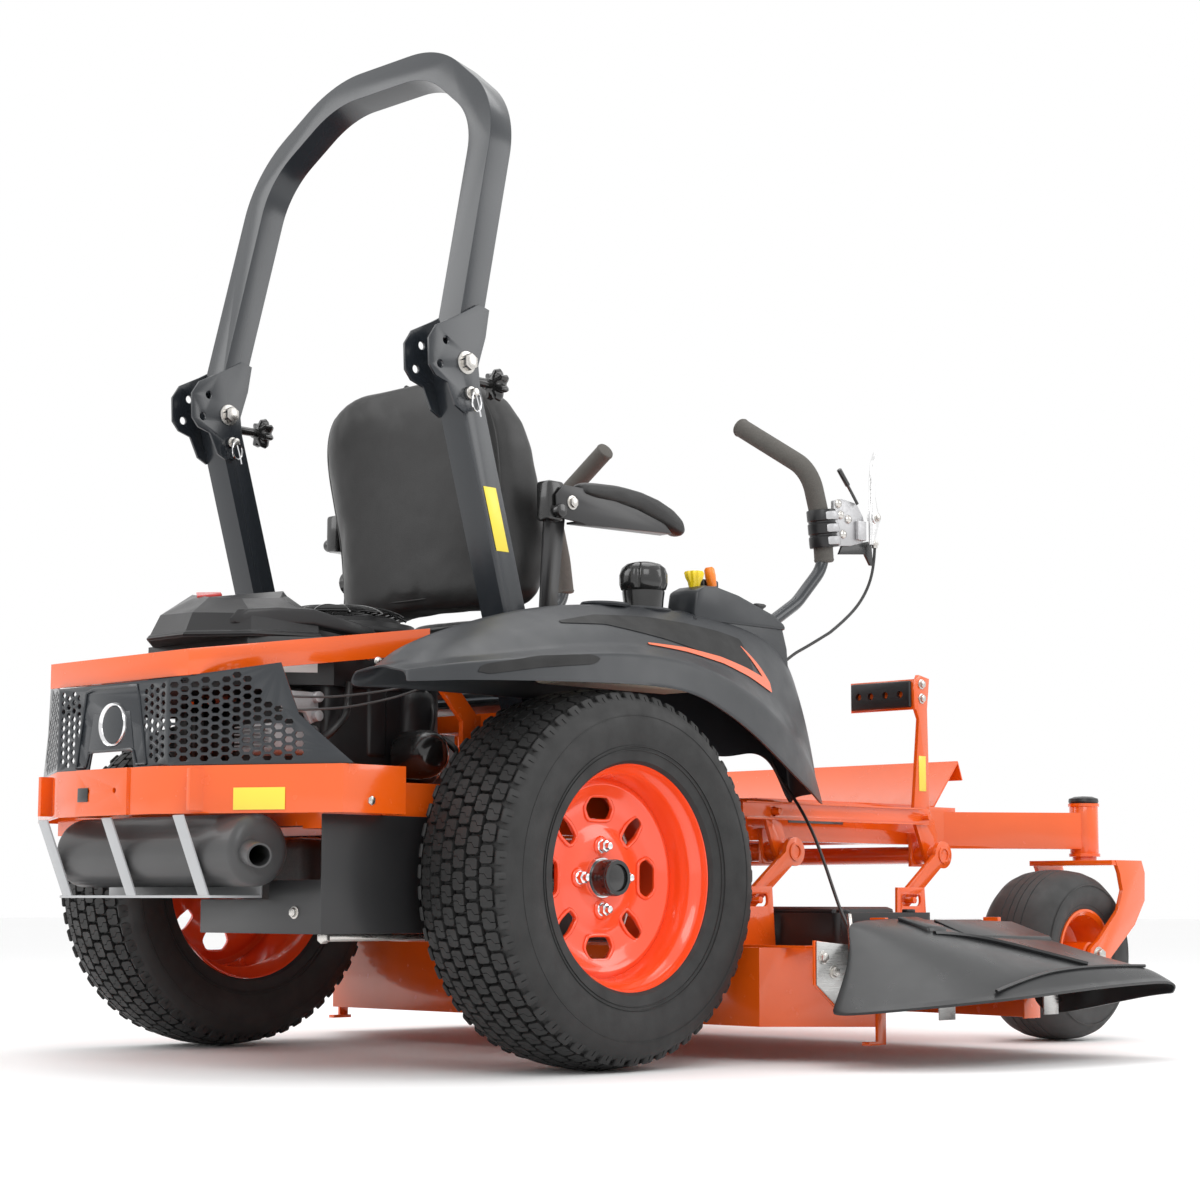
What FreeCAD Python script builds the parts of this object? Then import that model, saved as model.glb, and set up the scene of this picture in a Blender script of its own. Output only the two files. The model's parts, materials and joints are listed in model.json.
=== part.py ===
import FreeCAD, Part
import math
import os
from FreeCAD import Vector as V

# Zero turn mower, 54 inch deck class. Millimetres. X forward, Y to the operator's left, Z up.
# Everything is drawn with its origin on the ground under the rear axle, on the centre plane, and is moved
# at the end so that the origin is the bottom centre of the whole machine's box.

# ---- driving dimensions ----
TYRE_R, TYRE_W = 305.0, 222.0
RIM_FLANGE_R, RIM_HALF = 194.0, 99.0
TRACK = 491.6
AXLE_Z = TYRE_R
AXLE_R = 22.0
RUN = 0.05
CASTER_R, CASTER_W = 165.0, 165.0
CASTER_X, CASTER_Y = 1269.0, 522.6
SWIVEL_X, SWIVEL_Y = 1380.0, 523.0
STEM_R = 16.0
RAIL_Y0, RAIL_Y1 = 310.0, 360.0
RAIL_Z0, RAIL_Z1 = 378.0, 453.0
RAIL_REAR, RAIL_FRONT = -450.0, 1170.0
BUMPER_Z0, BUMPER_Z1 = 401.0, 475.0
HITCH_HALF, HITCH_Z, HITCH_R = 37.0, 440.0, 4.5
ROPS_Y, ROPS_X_SIZE, ROPS_Y_SIZE = 321.0, 50.0, 55.0
ROPS_PIVOT = V(-155.5, 0, 1150.5)
ROPS_LOCK = V(-149.0, 0, 1099.8)
POST_FOOT = V(49.3, 0, 453.0)
LOOP_LEAN = math.radians(13.15)
LOOP_HOLLOW = 0.86
LOOP_SHOULDER, LOOP_TOP = (306.0, 1613.0), (137.0, 1742.0)
SEAT_PIVOT = V(430, 0, 600)
ARMREST_PIVOT = V(135, 0, 955)
ARM_PIVOT = V(470, 0, 620)
SWING_PIVOT = V(0, 345, 745)
LEVER_Y = 345.0
LIFT_FRONT, LIFT_REAR = V(1036, 0, 357), V(590, 0, 357)
LIFT_ARM = V(-121, 0, -87)
DECK_X0, DECK_X1, DECK_Y = 335.0, 985.0, 700.0
DECK_Z0, DECK_Z1 = 58.0, 190.0
OPENING_X0, OPENING_X1 = 500.0, 905.0
CHUTE_HINGE = V(0, -668, 222)
BLADES = {"left": V(600, 451, 0), "center": V(745, 0, 0), "right": V(600, -451, 0)}
FAN_AXIS = V(-150, -25, 0)
FUEL_CAP = V(205, -415, 0)

nodes = {}


# ---- helpers ----
def box(x0, x1, y0, y1, z0, z1):
    return Part.makeBox(x1 - x0, y1 - y0, z1 - z0, V(x0, y0, z0))


def rod(start, end, radius):
    return Part.makeCylinder(radius, (end - start).Length, start, end - start)


def pipe(start, end, radius, bore):
    return rod(start, end, radius).cut(rod(start, end, bore))


def fused(shapes):
    return shapes[0].multiFuse(shapes[1:]).removeSplitter()


def mirrored(shape):
    return shape.mirror(V(0, 0, 0), V(0, 1, 0))


def both(shape):
    return Part.makeCompound([shape, mirrored(shape)])


def group(shapes):
    return Part.makeCompound(shapes)


def polygon(points):
    return Part.Face(Part.makePolygon(points + [points[0]]))


def plate_xz(points, y0, y1):
    return polygon([V(x, y0, z) for x, z in points]).extrude(V(0, y1 - y0, 0))


def plate_xy(points, z0, z1):
    return polygon([V(x, y, z0) for x, y in points]).extrude(V(0, 0, z1 - z0))


def plate_yz(points, x0, x1):
    return polygon([V(x0, y, z) for y, z in points]).extrude(V(x1 - x0, 0, 0))


def softened(shape, radius, keep=lambda edge: True):
    try:
        rounded = shape.makeFillet(radius, [edge for edge in shape.Edges if keep(edge)])
        return rounded if rounded.isValid() else shape
    except Part.OCCError:
        return shape


def upright(edge):
    return edge.BoundBox.ZLength > 0.9 * edge.Length


def across(edge):
    return edge.BoundBox.YLength > 0.9 * edge.Length


def beam(start, end, width, height, wall=0.0):
    """A rectangular bar between two points, its width level and square to its run."""
    run = end - start
    side = V(0, 0, 1).cross(run).normalize()
    up = run.cross(side).normalize()

    def section(w, h):
        corners = [start + side * (a * w / 2) + up * (b * h / 2)
                   for a, b in ((-1, -1), (1, -1), (1, 1), (-1, 1))]
        return polygon(corners).extrude(run)

    outer = section(width, height)
    return outer.cut(section(width - 2 * wall, height - 2 * wall)) if wall else outer


def bent_path(points, radii):
    """Straight runs joined by tangent arcs."""
    edges, here = [], points[0]
    for before, corner, after, radius in zip(points, points[1:], points[2:], radii):
        back, ahead = (before - corner).normalize(), (after - corner).normalize()
        half = back.getAngle(ahead) / 2
        reach = radius / math.tan(half)
        enter, leave = corner + back * reach, corner + ahead * reach
        middle = corner + (back + ahead).normalize() * (radius / math.sin(half) - radius)
        if (enter - here).Length > 0.01:
            edges.append(Part.LineSegment(here, enter).toShape())
        edges.append(Part.Arc(enter, middle, leave).toShape())
        here = leave
    edges.append(Part.LineSegment(here, points[-1]).toShape())
    return Part.Wire(edges)


def swept(path, profile):
    return path.makePipeShell([profile], True, False)


def bent_rod(points, radii, radius):
    circle = Part.Wire([Part.Circle(points[0], points[1] - points[0], radius).toShape()])
    return swept(bent_path(points, radii), circle)


def cable(points, radius):
    """A cable whose arcs are as large as their two runs allow."""
    radii = []
    for before, corner, after in zip(points, points[1:], points[2:]):
        turn = math.pi - (before - corner).getAngle(after - corner)
        shorter = min((before - corner).Length, (after - corner).Length)
        radii.append(0.45 * shorter / math.tan(turn / 2))
    print("cable radii", [round(r) for r in radii])
    return bent_rod(points, radii, radius)


def turned(profile, centre, axis=V(0, 1, 0)):
    """A ring turned about Y from (radius, offset) pairs."""
    face = polygon([V(centre.x + r, centre.y + y, centre.z) for r, y in profile])
    return face.revolve(centre, axis, 360)


def band(points, thickness, z0, z1):
    """A flat bar bent along a line in plan, its thickness inside the line."""
    inner = []
    for i, point in enumerate(points):
        before = points[max(i - 1, 0)]
        after = points[min(i + 1, len(points) - 1)]
        normals = []
        for a, b in ((before, point), (point, after)):
            if a != b:
                run = V(b[0] - a[0], b[1] - a[1], 0).normalize()
                normals.append(V(-run.y, run.x, 0))
        mitre = (normals[0] + normals[-1]).normalize()
        reach = thickness / mitre.dot(normals[0])
        inner.append((point[0] + mitre.x * reach, point[1] + mitre.y * reach))
    return plate_xy(points + inner[::-1], z0, z1)


def shell(grid, thickness):
    """A moulded skin: a grid of outer points given thickness inwards."""
    rows, cols = len(grid), len(grid[0])
    inner = []
    for i in range(rows):
        line = []
        for j in range(cols):
            along = grid[min(i + 1, rows - 1)][j] - grid[max(i - 1, 0)][j]
            over = grid[i][min(j + 1, cols - 1)] - grid[i][max(j - 1, 0)]
            line.append(grid[i][j] + along.cross(over).normalize() * thickness)
        inner.append(line)
    faces = []

    def quad(a, b, c, d):
        faces.append(polygon([a, b, c]))
        faces.append(polygon([a, c, d]))

    for i in range(rows - 1):
        for j in range(cols - 1):
            quad(grid[i][j], grid[i + 1][j], grid[i + 1][j + 1], grid[i][j + 1])
            quad(inner[i][j], inner[i][j + 1], inner[i + 1][j + 1], inner[i + 1][j])
    for i in range(rows - 1):
        for j in (0, cols - 1):
            quad(grid[i][j], grid[i + 1][j], inner[i + 1][j], inner[i][j])
    for j in range(cols - 1):
        for i in (0, rows - 1):
            quad(grid[i][j], grid[i][j + 1], inner[i][j + 1], inner[i][j])
    solid = Part.makeSolid(Part.makeShell(faces))
    return solid if solid.Volume > 0 else solid.reversed()


def hexagon_bar(centre, axis, across_flats, length):
    radius = across_flats / math.sqrt(3)
    side = axis.cross(V(0.3, 0.2, 1)).normalize()
    up = axis.cross(side)
    corners = []
    for k in range(6):
        turn = k * math.pi / 3
        corners.append(centre + side * (radius * math.cos(turn)) + up * (radius * math.sin(turn)))
    return polygon(corners).extrude(axis * length)


def pair(name, shape):
    """The same piece on both sides; drawn on the left."""
    nodes[name + "_left"] = shape
    nodes[name + "_right"] = mirrored(shape)


# ---- main frame, one weldment ----
def main_frame():
    rail = box(RAIL_REAR, RAIL_FRONT, RAIL_Y0, RAIL_Y1, RAIL_Z0, RAIL_Z1)
    rail = rail.cut(box(RAIL_REAR + 4, RAIL_FRONT - 4, RAIL_Y0 + 4, RAIL_Y1 - 4, RAIL_Z0 + 4, RAIL_Z1 - 4))
    arm = beam(V(1140, 335, 408), V(1368, 515, 408), 50, 72, 4)
    barrel = rod(V(SWIVEL_X, SWIVEL_Y, 357), V(SWIVEL_X, SWIVEL_Y, 463), 28.5)
    stem = rod(V(SWIVEL_X, SWIVEL_Y, 340), V(SWIVEL_X, SWIVEL_Y, 480), STEM_R + RUN)
    lever_post = box(440, 500, 312, 322, RAIL_Z1, 645)
    lever_pin = rod(V(ARM_PIVOT.x, 318, ARM_PIVOT.z), V(ARM_PIVOT.x, 341, ARM_PIVOT.z), 10)
    hangers = [box(p.x - 24, p.x + 24, 362, 370, 335, 400).fuse(box(p.x - 24, p.x + 24, 355, 370, 385, 400))
               for p in (LIFT_FRONT, LIFT_REAR)]
    half = fused([rail, barrel, arm.cut(barrel), lever_post, lever_pin] + hangers)
    crosses = [box(x, x + 50, -RAIL_Y0, RAIL_Y0, RAIL_Z0 + 5, RAIL_Z1 - 5).cut(
               box(x + 4, x + 46, -RAIL_Y0, RAIL_Y0, RAIL_Z0 + 9, RAIL_Z1 - 9))
               for x in (RAIL_REAR, -60, 40, 400, RAIL_FRONT - 60)]
    deck_plate = box(RAIL_REAR, -60, -RAIL_Y0, RAIL_Y0, RAIL_Z1 - 8, RAIL_Z1)
    seat_stands = [box(x, x + 8, -220, 220, RAIL_Z1 - 5, 590).cut(box(x, x + 8, -180, 180, RAIL_Z1, 560))
                   for x in (50, 420)]
    top_bars = both(box(50, 428, 180, 220, 582, 590))
    frame = fused([half, mirrored(half), deck_plate, top_bars] + seat_stands + crosses)
    for p in (LIFT_FRONT, LIFT_REAR):
        frame = frame.cut(rod(V(p.x, -400, p.z), V(p.x, 400, p.z), 17 + RUN))
    return frame.cut(stem).cut(mirrored(stem))


# ---- guards and panels ----
def rear_bumper():
    side = [(-600, 0), (-600, 130), (-453, 408), (-335, 408), (-335, 362)]
    line = [(x, -y) for x, y in side[::-1]] + side[1:]
    strip = band(line[::-1], -5.0, BUMPER_Z0, BUMPER_Z1)
    overlay = box(-610, -600, -70, 70, BUMPER_Z0, BUMPER_Z1)
    bumper = fused([strip, overlay])
    for y in (-HITCH_HALF, HITCH_HALF):
        bumper = bumper.cut(rod(V(-620, y, HITCH_Z), V(-580, y, HITCH_Z), HITCH_R))
    brace = box(-590, -452, 200, 208, 405, 470)
    return fused([bumper, brace, mirrored(brace), box(-455, -450, -300, 300, 405, 450)])


def upper_guard():
    def rail(start, end):
        run = end - start
        side = V(run.y, -run.x, 0).normalize()
        web = [start, start - side * 5, start - side * 5 + V(0, 0, 41), start + V(0, 0, 41)]
        flange = [start, start - side * 30, start - side * 30 + V(0, 0, 5), start + V(0, 0, 5)]
        lift = V(0, 0, 36)
        return polygon(web).extrude(run).fuse(polygon([p + lift for p in flange]).extrude(run))

    low, high = V(-584, 190, 615), V(-218, 340, 664)
    side = rail(high, low)
    middle = box(-584, -579, -190, 190, 615, 656).fuse(box(-584, -554, -190, 190, 651, 656))
    stay = beam(V(-222, 330, 664), V(-120, 330, 560), 10, 30).fuse(box(-140, -100, 325, 335, 453.5, 570))
    return fused([middle, side, mirrored(side), stay, mirrored(stay)])


def slot_face(corners, slots):
    outer = Part.makePolygon(corners + [corners[0]])
    return Part.Face([outer] + slots)


def hex_slot(centre, along, up, half_length, half_height):
    tip = half_height * 0.7
    points = [(-half_length, 0), (-half_length + tip, half_height), (half_length - tip, half_height),
              (half_length, 0), (half_length - tip, -half_height), (-half_length + tip, -half_height)]
    corners = [centre + along * a + up * b for a, b in points]
    return Part.makePolygon(corners + [corners[0]])


def inside(point, outline, margin):
    """Whether a point lies inside a convex outline given anticlockwise."""
    for a, b in zip(outline, outline[1:] + outline[:1]):
        run = (b[0] - a[0], b[1] - a[1])
        length = math.hypot(*run)
        if (run[0] * (point[1] - a[1]) - run[1] * (point[0] - a[0])) / length < margin:
            return False
    return True


def slotted_panel(origin, along, outline, pitch, rise, half_length, half_height, thickness):
    """A flat panel standing on a line, with staggered hexagonal slots."""
    up = V(0, 0, 1)
    inward = up.cross(along)
    corners = [origin + along * s + up * z for s, z in outline]
    slots, column, s = [], 0, pitch / 2
    while s < max(p[0] for p in outline):
        z = min(p[1] for p in outline) + rise * (0.75 if column % 2 else 0.25)
        while z < max(p[1] for p in outline):
            if inside((s, z), outline, 0.9 * half_length):
                slots.append(hex_slot(origin + along * s + up * z, along, up, half_length, half_height))
            z += rise
        s += pitch
        column += 1
    return slot_face(corners, slots).extrude(inward * thickness)


def guard_grille():
    fold = V(-592, -152, 0)
    run = V(149, -269, 0).normalize()
    side = slotted_panel(fold, run, [(0, 476), (308, 476), (288, 492), (217, 552), (186, 632), (0, 612)],
                         17.5, 13.5, 7.8, 4.6, 3.0)
    wing = [(30, 476), (82, 476), (82, 612), (0, 612)]
    narrow = slotted_panel(V(-592, -70, 0), V(0, -1, 0), wing, 15.0, 13.5, 5.6, 4.4, 3.0)
    arch = [(-101, 476), (-71, 612), (71, 612), (101, 476), (62, 476), (44, 540), (-44, 540), (-62, 476)]
    centre = plate_yz(arch, -592, -589)
    top = box(-592, -560, -152, 152, 609, 612)
    return fused([side, mirrored(side), narrow, mirrored(narrow), centre, top])


def muffler():
    can = rod(V(-512, -290, 345), V(-512, 195, 345), 56)
    can = softened(can, 18, lambda edge: edge.Length > 300)
    can = can.cut(rod(V(-512, -272, 345), V(-512, 177, 345), 52))
    bend = [V(-525, -262, 345), V(-540, -300, 340), V(-560, -345, 335)]
    return can.fuse(bent_rod(bend, [30], 19)).cut(bent_rod(bend, [30], 16))


def muffler_cage():
    straps = []
    for y in (-195, -5, 175):
        straps.append(beam(V(-601, y, 398), V(-549, y, 274), 26, 3))
    tray = box(-552, -452, -215, 195, 272, 276)
    return fused(straps + [tray, box(-455, -452, -215, 195, 276, 377)])


def rear_skirt():
    side = box(-455, -120, -364, -361, 217, 400)
    rear = box(-455, -452, -361, -235, 217, 300)
    lip = box(-455, -452, -235, -60, 217, 270)
    return fused([side, rear, lip, box(-452, -300, -361, -60, 217, 220)])


def foot_pan():
    floor = box(600, 1141, -330, 330, 454, 457)
    slope = plate_xz([(1141, 454), (1224, 547), (1222, 550), (1138, 457)], -330, 330)
    lip = plate_xz([(1224, 547), (1238, 512), (1235, 511), (1222, 546)], -330, 330)
    pan = fused([floor, slope, lip])
    holes = []
    for x in (700, 790, 880, 970, 1060):
        for y in (-250, -125, 0, 125, 250):
            holes.append(rod(V(x, y, 440), V(x, y, 470), 9))
    return pan.cut(group(holes))


# ---- engine ----
def engine_block():
    case = softened(box(-330, -60, -150, 120, 454, 600), 18, upright)
    cylinders = []
    for angle in (40, -40):
        out = V(-math.cos(math.radians(angle)), -math.sin(math.radians(angle)), 0)
        start = V(-190, -20, 545)
        cylinders.append(rod(start, start + out * 235, 52))
        for k in range(7):
            at = start + out * (130 + k * 14)
            cylinders.append(rod(at, at + out * 5, 66))
    sump = rod(V(-150, -25, 454), V(-150, -25, 470), 120)
    return fused([case, sump] + cylinders)


def engine_shroud():
    plan = [(-20, -150), (-60, -215), (-330, -235), (-440, -150),
            (-440, 120), (-330, 205), (-60, 190), (-20, 120)]
    low = plate_xy(plan, 612, 690)
    ring = rod(V(FAN_AXIS.x, FAN_AXIS.y, 690), V(FAN_AXIS.x, FAN_AXIS.y, 735), 132)
    well = rod(V(FAN_AXIS.x, FAN_AXIS.y, 705), V(FAN_AXIS.x, FAN_AXIS.y, 745), 118)
    return fused([low, ring]).cut(well)


def air_cleaner_cover():
    base = [(-505, -70), (-505, 30), (-420, 130), (-300, 250),
            (-215, 250), (-290, -110), (-330, -200), (-440, -160)]
    top = [(-440, -20), (-440, 30), (-380, 90), (-330, 150),
           (-300, 150), (-300, -40), (-340, -80), (-400, -70)]
    wires = [Part.makePolygon([V(x, y, z) for x, y in line + line[:1]])
             for line, z in ((base, 691), (top, 800))]
    hood = Part.makeLoft(wires, True, True)
    return hood.cut(rod(V(FAN_AXIS.x, FAN_AXIS.y, 680), V(FAN_AXIS.x, FAN_AXIS.y, 810), 134))


def engine_fan_screen():
    centre = V(FAN_AXIS.x, FAN_AXIS.y, 0)
    dome = pipe(centre + V(0, 0, 738), centre + V(0, 0, 752), 112, 104)
    cap = rod(centre + V(0, 0, 752), centre + V(0, 0, 766), 45)
    ribs = []
    for k in range(12):
        rib = box(40, 108, -3, 3, 748, 757)
        rib.rotate(V(0, 0, 0), V(0, 0, 1), 30 * k)
        rib.translate(centre)
        ribs.append(rib)
    shaft = rod(centre + V(0, 0, 707), centre + V(0, 0, 760), 12)
    return fused([dome, cap, shaft] + ribs)


def oil_filter():
    can = rod(V(-175, -236, 530), V(-175, -318, 530), 38)
    return softened(can, 8, lambda edge: edge.Length > 200)


# ---- drive ----
def transaxles():
    case = box(-105, 105, 110, 300, 235, 376)
    case = softened(case, 20, lambda edge: True)
    tube = rod(V(0, 290, AXLE_Z), V(0, 372, AXLE_Z), 42)
    seat = rod(V(0, 150, AXLE_Z), V(0, 400, AXLE_Z), AXLE_R + RUN)
    return both(case.fuse(tube).cut(seat))


def rear_tyre():
    outer = [(183, -93.5), (195, -95.5), (215, -109), (245, -111), (278, -106), (296, -92), (305, -74),
             (305, 74), (296, 92), (278, 106), (245, 111), (215, 109), (195, 95.5), (183, 93.5)]
    inner = [(183, 84), (215, 97), (245, 99), (270, 94), (286, 80), (291, 66),
             (291, -66), (286, -80), (270, -94), (245, -99), (215, -97), (183, -84)]
    return turned(outer + inner, V(0, TRACK, AXLE_Z))


def rear_rim():
    barrel = [(194, -99), (194, -96), (182, -94), (181, -70), (163, -58), (163, 40), (181, 60), (182, 94),
              (194, 96), (194, 99), (179, 97), (177, 62), (159, 42), (159, -60), (177, -72), (179, -97)]
    rim = turned(barrel, V(0, TRACK, AXLE_Z))
    dish = turned([(28, 17), (75, 17), (120, 30), (160, 24), (160, 28), (120, 34), (75, 21), (28, 21)],
                  V(0, TRACK, AXLE_Z))
    cuts = []
    for k in range(8):
        half = 19 if k % 2 else 26
        window = box(92, 134, TRACK, TRACK + 60, AXLE_Z - half, AXLE_Z + half)
        window = softened(window, 9, across)
        window.rotate(V(0, 0, AXLE_Z), V(0, 1, 0), 45 * k)
        cuts.append(window)
    for k in range(4):
        angle = math.radians(90 * k)
        at = V(50.7 * math.cos(angle), 0, AXLE_Z + 50.7 * math.sin(angle))
        cuts.append(rod(at + V(0, TRACK, 0), at + V(0, TRACK + 40, 0), 7.5))
    return rim.fuse(dish.cut(group(cuts)))


def wheel_hub():
    centre = V(0, TRACK, AXLE_Z)
    flange = rod(centre + V(0, -10, 0), centre + V(0, 16.9, 0), 66)
    shaft = rod(V(0, 160, AXLE_Z), centre, AXLE_R)
    sleeve = rod(V(0, 376, AXLE_Z), centre, 38)
    cap = rod(centre + V(0, 16, 0), centre + V(0, 48, 0), 27.9)
    parts = [flange, shaft, sleeve, cap]
    for k in range(4):
        angle = math.radians(90 * k)
        at = centre + V(50.7 * math.cos(angle), 0, 50.7 * math.sin(angle))
        parts.append(rod(at + V(0, 10, 0), at + V(0, 34, 0), 6))
        parts.append(hexagon_bar(at + V(0, 21.1, 0), V(0, 1, 0), 19, 10))
    return fused(parts)


# ---- front casters ----
def caster_fork():
    centre = V(SWIVEL_X, SWIVEL_Y, 0)
    stem = rod(centre + V(0, 0, 340), centre + V(0, 0, 466), STEM_R)
    washer = rod(centre + V(0, 0, 347), centre + V(0, 0, 356.7), 24)
    crown = box(1328, 1432, SWIVEL_Y - 97, SWIVEL_Y + 97, 339, 349)
    leg_line = [(1338, 349), (1432, 349), (1443, 325), (1440, 270), (1402, 222), (1298, 148), (1262, 140),
                (1240, 158), (1246, 178), (1275, 195), (1345, 252), (1362, 290), (1352, 325)]
    leg = plate_xz(leg_line, SWIVEL_Y + 90, SWIVEL_Y + 99)
    other = plate_xz(leg_line, SWIVEL_Y - 99, SWIVEL_Y - 90)
    fork = fused([stem, washer, crown, leg, other])
    return fork.cut(rod(V(CASTER_X, CASTER_Y - 120, CASTER_R), V(CASTER_X, CASTER_Y + 120, CASTER_R), 8.05))


def caster_tyre():
    profile = [(80, -67.5), (89, -68.5), (104, -81), (140, -82), (157, -62), (165, -28), (165, 28), (157, 62),
               (140, 82), (104, 81), (89, 68.5), (80, 67.5), (80, 60), (104, 71), (135, 70), (148, 56), (155, 26),
               (155, -26), (148, -56), (135, -70), (104, -71), (80, -60)]
    return turned(profile, V(CASTER_X, CASTER_Y, CASTER_R))


def caster_rim():
    centre = V(CASTER_X, CASTER_Y, CASTER_R)
    barrel = turned([(88, -72), (88, -69), (79.5, -68), (79.5, 68),
                     (88, 69), (88, 72), (76, 72), (76, -72)], centre)
    disc = turned([(26, -6), (78, -6), (78, 6), (26, 6)], centre)
    holes = []
    for k in range(6):
        turn = k * math.pi / 3
        spot = centre + V(52 * math.cos(turn), 0, 52 * math.sin(turn))
        holes.append(rod(spot - V(0, 20, 0), spot + V(0, 20, 0), 13))
    hub = rod(centre + V(0, -84, 0), centre + V(0, 84, 0), 27)
    axle = rod(centre + V(0, -108, 0), centre + V(0, 108, 0), 8)
    nuts = [hexagon_bar(centre + V(0, y, 0), V(0, 1, 0), 22, 9) for y in (99.8, -108.8)]
    return fused([barrel, disc.cut(group(holes)), hub, axle] + nuts)


# ---- roll bar ----
def rops_posts():
    top = ROPS_PIVOT + V(0, ROPS_Y, 0)
    foot = POST_FOOT + V(0, ROPS_Y, 0)
    post = beam(foot, top, ROPS_Y_SIZE - 0.6, ROPS_X_SIZE, 4)
    crown = rod(top + V(0, -27.2, 0), top + V(0, 27.2, 0), 25)
    base = box(20, 100, 293, 348, RAIL_Z1, RAIL_Z1 + 10)
    post = fused([post, crown, base]).cut(box(-50, 200, 280, 360, 380, RAIL_Z1 + 0.2))
    return both(post.cut(rod(top + V(0, -40, 0), top + V(0, 40, 0), 8 + RUN)))


def loop_point(y, z):
    return V(-134.0 + (z - 1250.0) * math.tan(LOOP_LEAN), y, z)


def rops_loop():
    right = [loop_point(-ROPS_Y, 1190), loop_point(-LOOP_SHOULDER[0], LOOP_SHOULDER[1]),
             loop_point(-LOOP_TOP[0], LOOP_TOP[1])]
    path = bent_path(right + [loop_point(-p.y, p.z) for p in right[::-1]], [170, 200, 200, 170])
    start = right[0]
    ahead, side = (right[1] - start).normalize(), V(0, 1, 0)
    front = side.cross(ahead)
    corners = [start + front * (a * ROPS_X_SIZE / 2) + side * (b * ROPS_Y_SIZE / 2)
               for a, b in ((-1, -1), (1, -1), (1, 1), (-1, 1))]
    inner = [start + (corner - start) * LOOP_HOLLOW for corner in corners]
    loop = swept(path, Part.makePolygon(corners + [corners[0]])).cut(
        swept(path, Part.makePolygon(inner + [inner[0]])))
    outline = [(-104, 1248), (-128, 1254), (-178, 1226), (-222, 1204), (-238, 1180), (-236, 1136), (-222, 1120),
               (-196, 1112), (-178, 1076), (-158, 1066), (-132, 1074), (-122, 1100), (-128, 1150), (-112, 1200)]
    plates = [plate_xz(outline, y0, y0 + 5) for y0 in (ROPS_Y + 27.5, ROPS_Y - 32.5)]
    holes = [rod(V(x, 250, z), V(x, 400, z), r)
             for x, z, r in ((-200.6, 1181.7, 7), (-213, 1140.3, 7), (ROPS_LOCK.x, ROPS_LOCK.z, 6.5))]
    side_plates = [plate.cut(group(holes)) for plate in plates]
    bolt = rod(V(ROPS_PIVOT.x, ROPS_Y - 44, ROPS_PIVOT.z), V(ROPS_PIVOT.x, ROPS_Y + 40, ROPS_PIVOT.z), 8)
    head = hexagon_bar(V(ROPS_PIVOT.x, ROPS_Y + 32.5, ROPS_PIVOT.z), V(0, 1, 0), 24, 11)
    nut = hexagon_bar(V(ROPS_PIVOT.x, ROPS_Y - 45.5, ROPS_PIVOT.z), V(0, 1, 0), 24, 13)
    fittings = fused(side_plates + [bolt, head, nut])
    return fused([loop, fittings, mirrored(fittings)])


def rops_lock_pins():
    at = V(ROPS_LOCK.x, ROPS_Y, ROPS_LOCK.z)
    outer = rod(at + V(0, 28, 0), at + V(0, 50, 0), 6).fuse(rod(at + V(0, 32.6, 0), at + V(0, 40, 0), 11))
    inner = rod(at + V(0, -46, 0), at + V(0, -28, 0), 6)
    return group([outer, inner, mirrored(outer), mirrored(inner)])


# ---- seat ----
def seat_pan():
    pan = box(60, 470, -215, 215, 604, 608)
    riser = box(90, 460, -200, 200, 608, 694).cut(box(94, 456, -196, 196, 608, 700))
    hinge = rod(V(SEAT_PIVOT.x, -235, SEAT_PIVOT.z + 10), V(SEAT_PIVOT.x, 235, SEAT_PIVOT.z + 10), 6)
    bracket = plate_xz([(95, 640), (125, 640), (160, 930), (160, 985), (112, 985), (112, 925)], 262, 268)
    link = plate_xz([(95, 620), (180, 620), (150, 690), (100, 690)], 200, 268)
    pin = rod(V(ARMREST_PIVOT.x, 262, ARMREST_PIVOT.z), V(ARMREST_PIVOT.x, 300, ARMREST_PIVOT.z), 8)
    arm = fused([bracket, link, pin])
    return fused([pan, riser, hinge, arm, mirrored(arm)])


def seat_cushion():
    block = box(60, 530, -245, 245, 696, 800)
    block = block.cut(box(40, 195, -260, 260, 762, 820))
    return softened(block, 22, lambda edge: edge.BoundBox.ZMax > 700)


def seat_back():
    side = plate_xz([(35, 772), (165, 772), (205, 860), (170, 1010),
                     (105, 1150), (20, 1195), (-10, 1180), (10, 1000)], -250, 250)
    front = softened(box(-60, 300, -250, 250, 772, 1196), 115, lambda edge: edge.BoundBox.ZMin > 1190)
    front = softened(front, 45, lambda edge: edge.BoundBox.ZMax < 780 and edge.BoundBox.XLength > 300)
    return softened(side.common(front), 14)


def armrest():
    outline = [(112, 978), (150, 990), (330, 1000), (405, 978), (432, 950), (400, 925), (300, 925), (160, 922),
               (118, 930)]
    pad = plate_xz(outline, 269, 325)
    pad = softened(pad, 9, lambda edge: True)
    return pad.cut(rod(V(ARMREST_PIVOT.x, 250, ARMREST_PIVOT.z), V(ARMREST_PIVOT.x, 310, ARMREST_PIVOT.z), 8.05))


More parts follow.
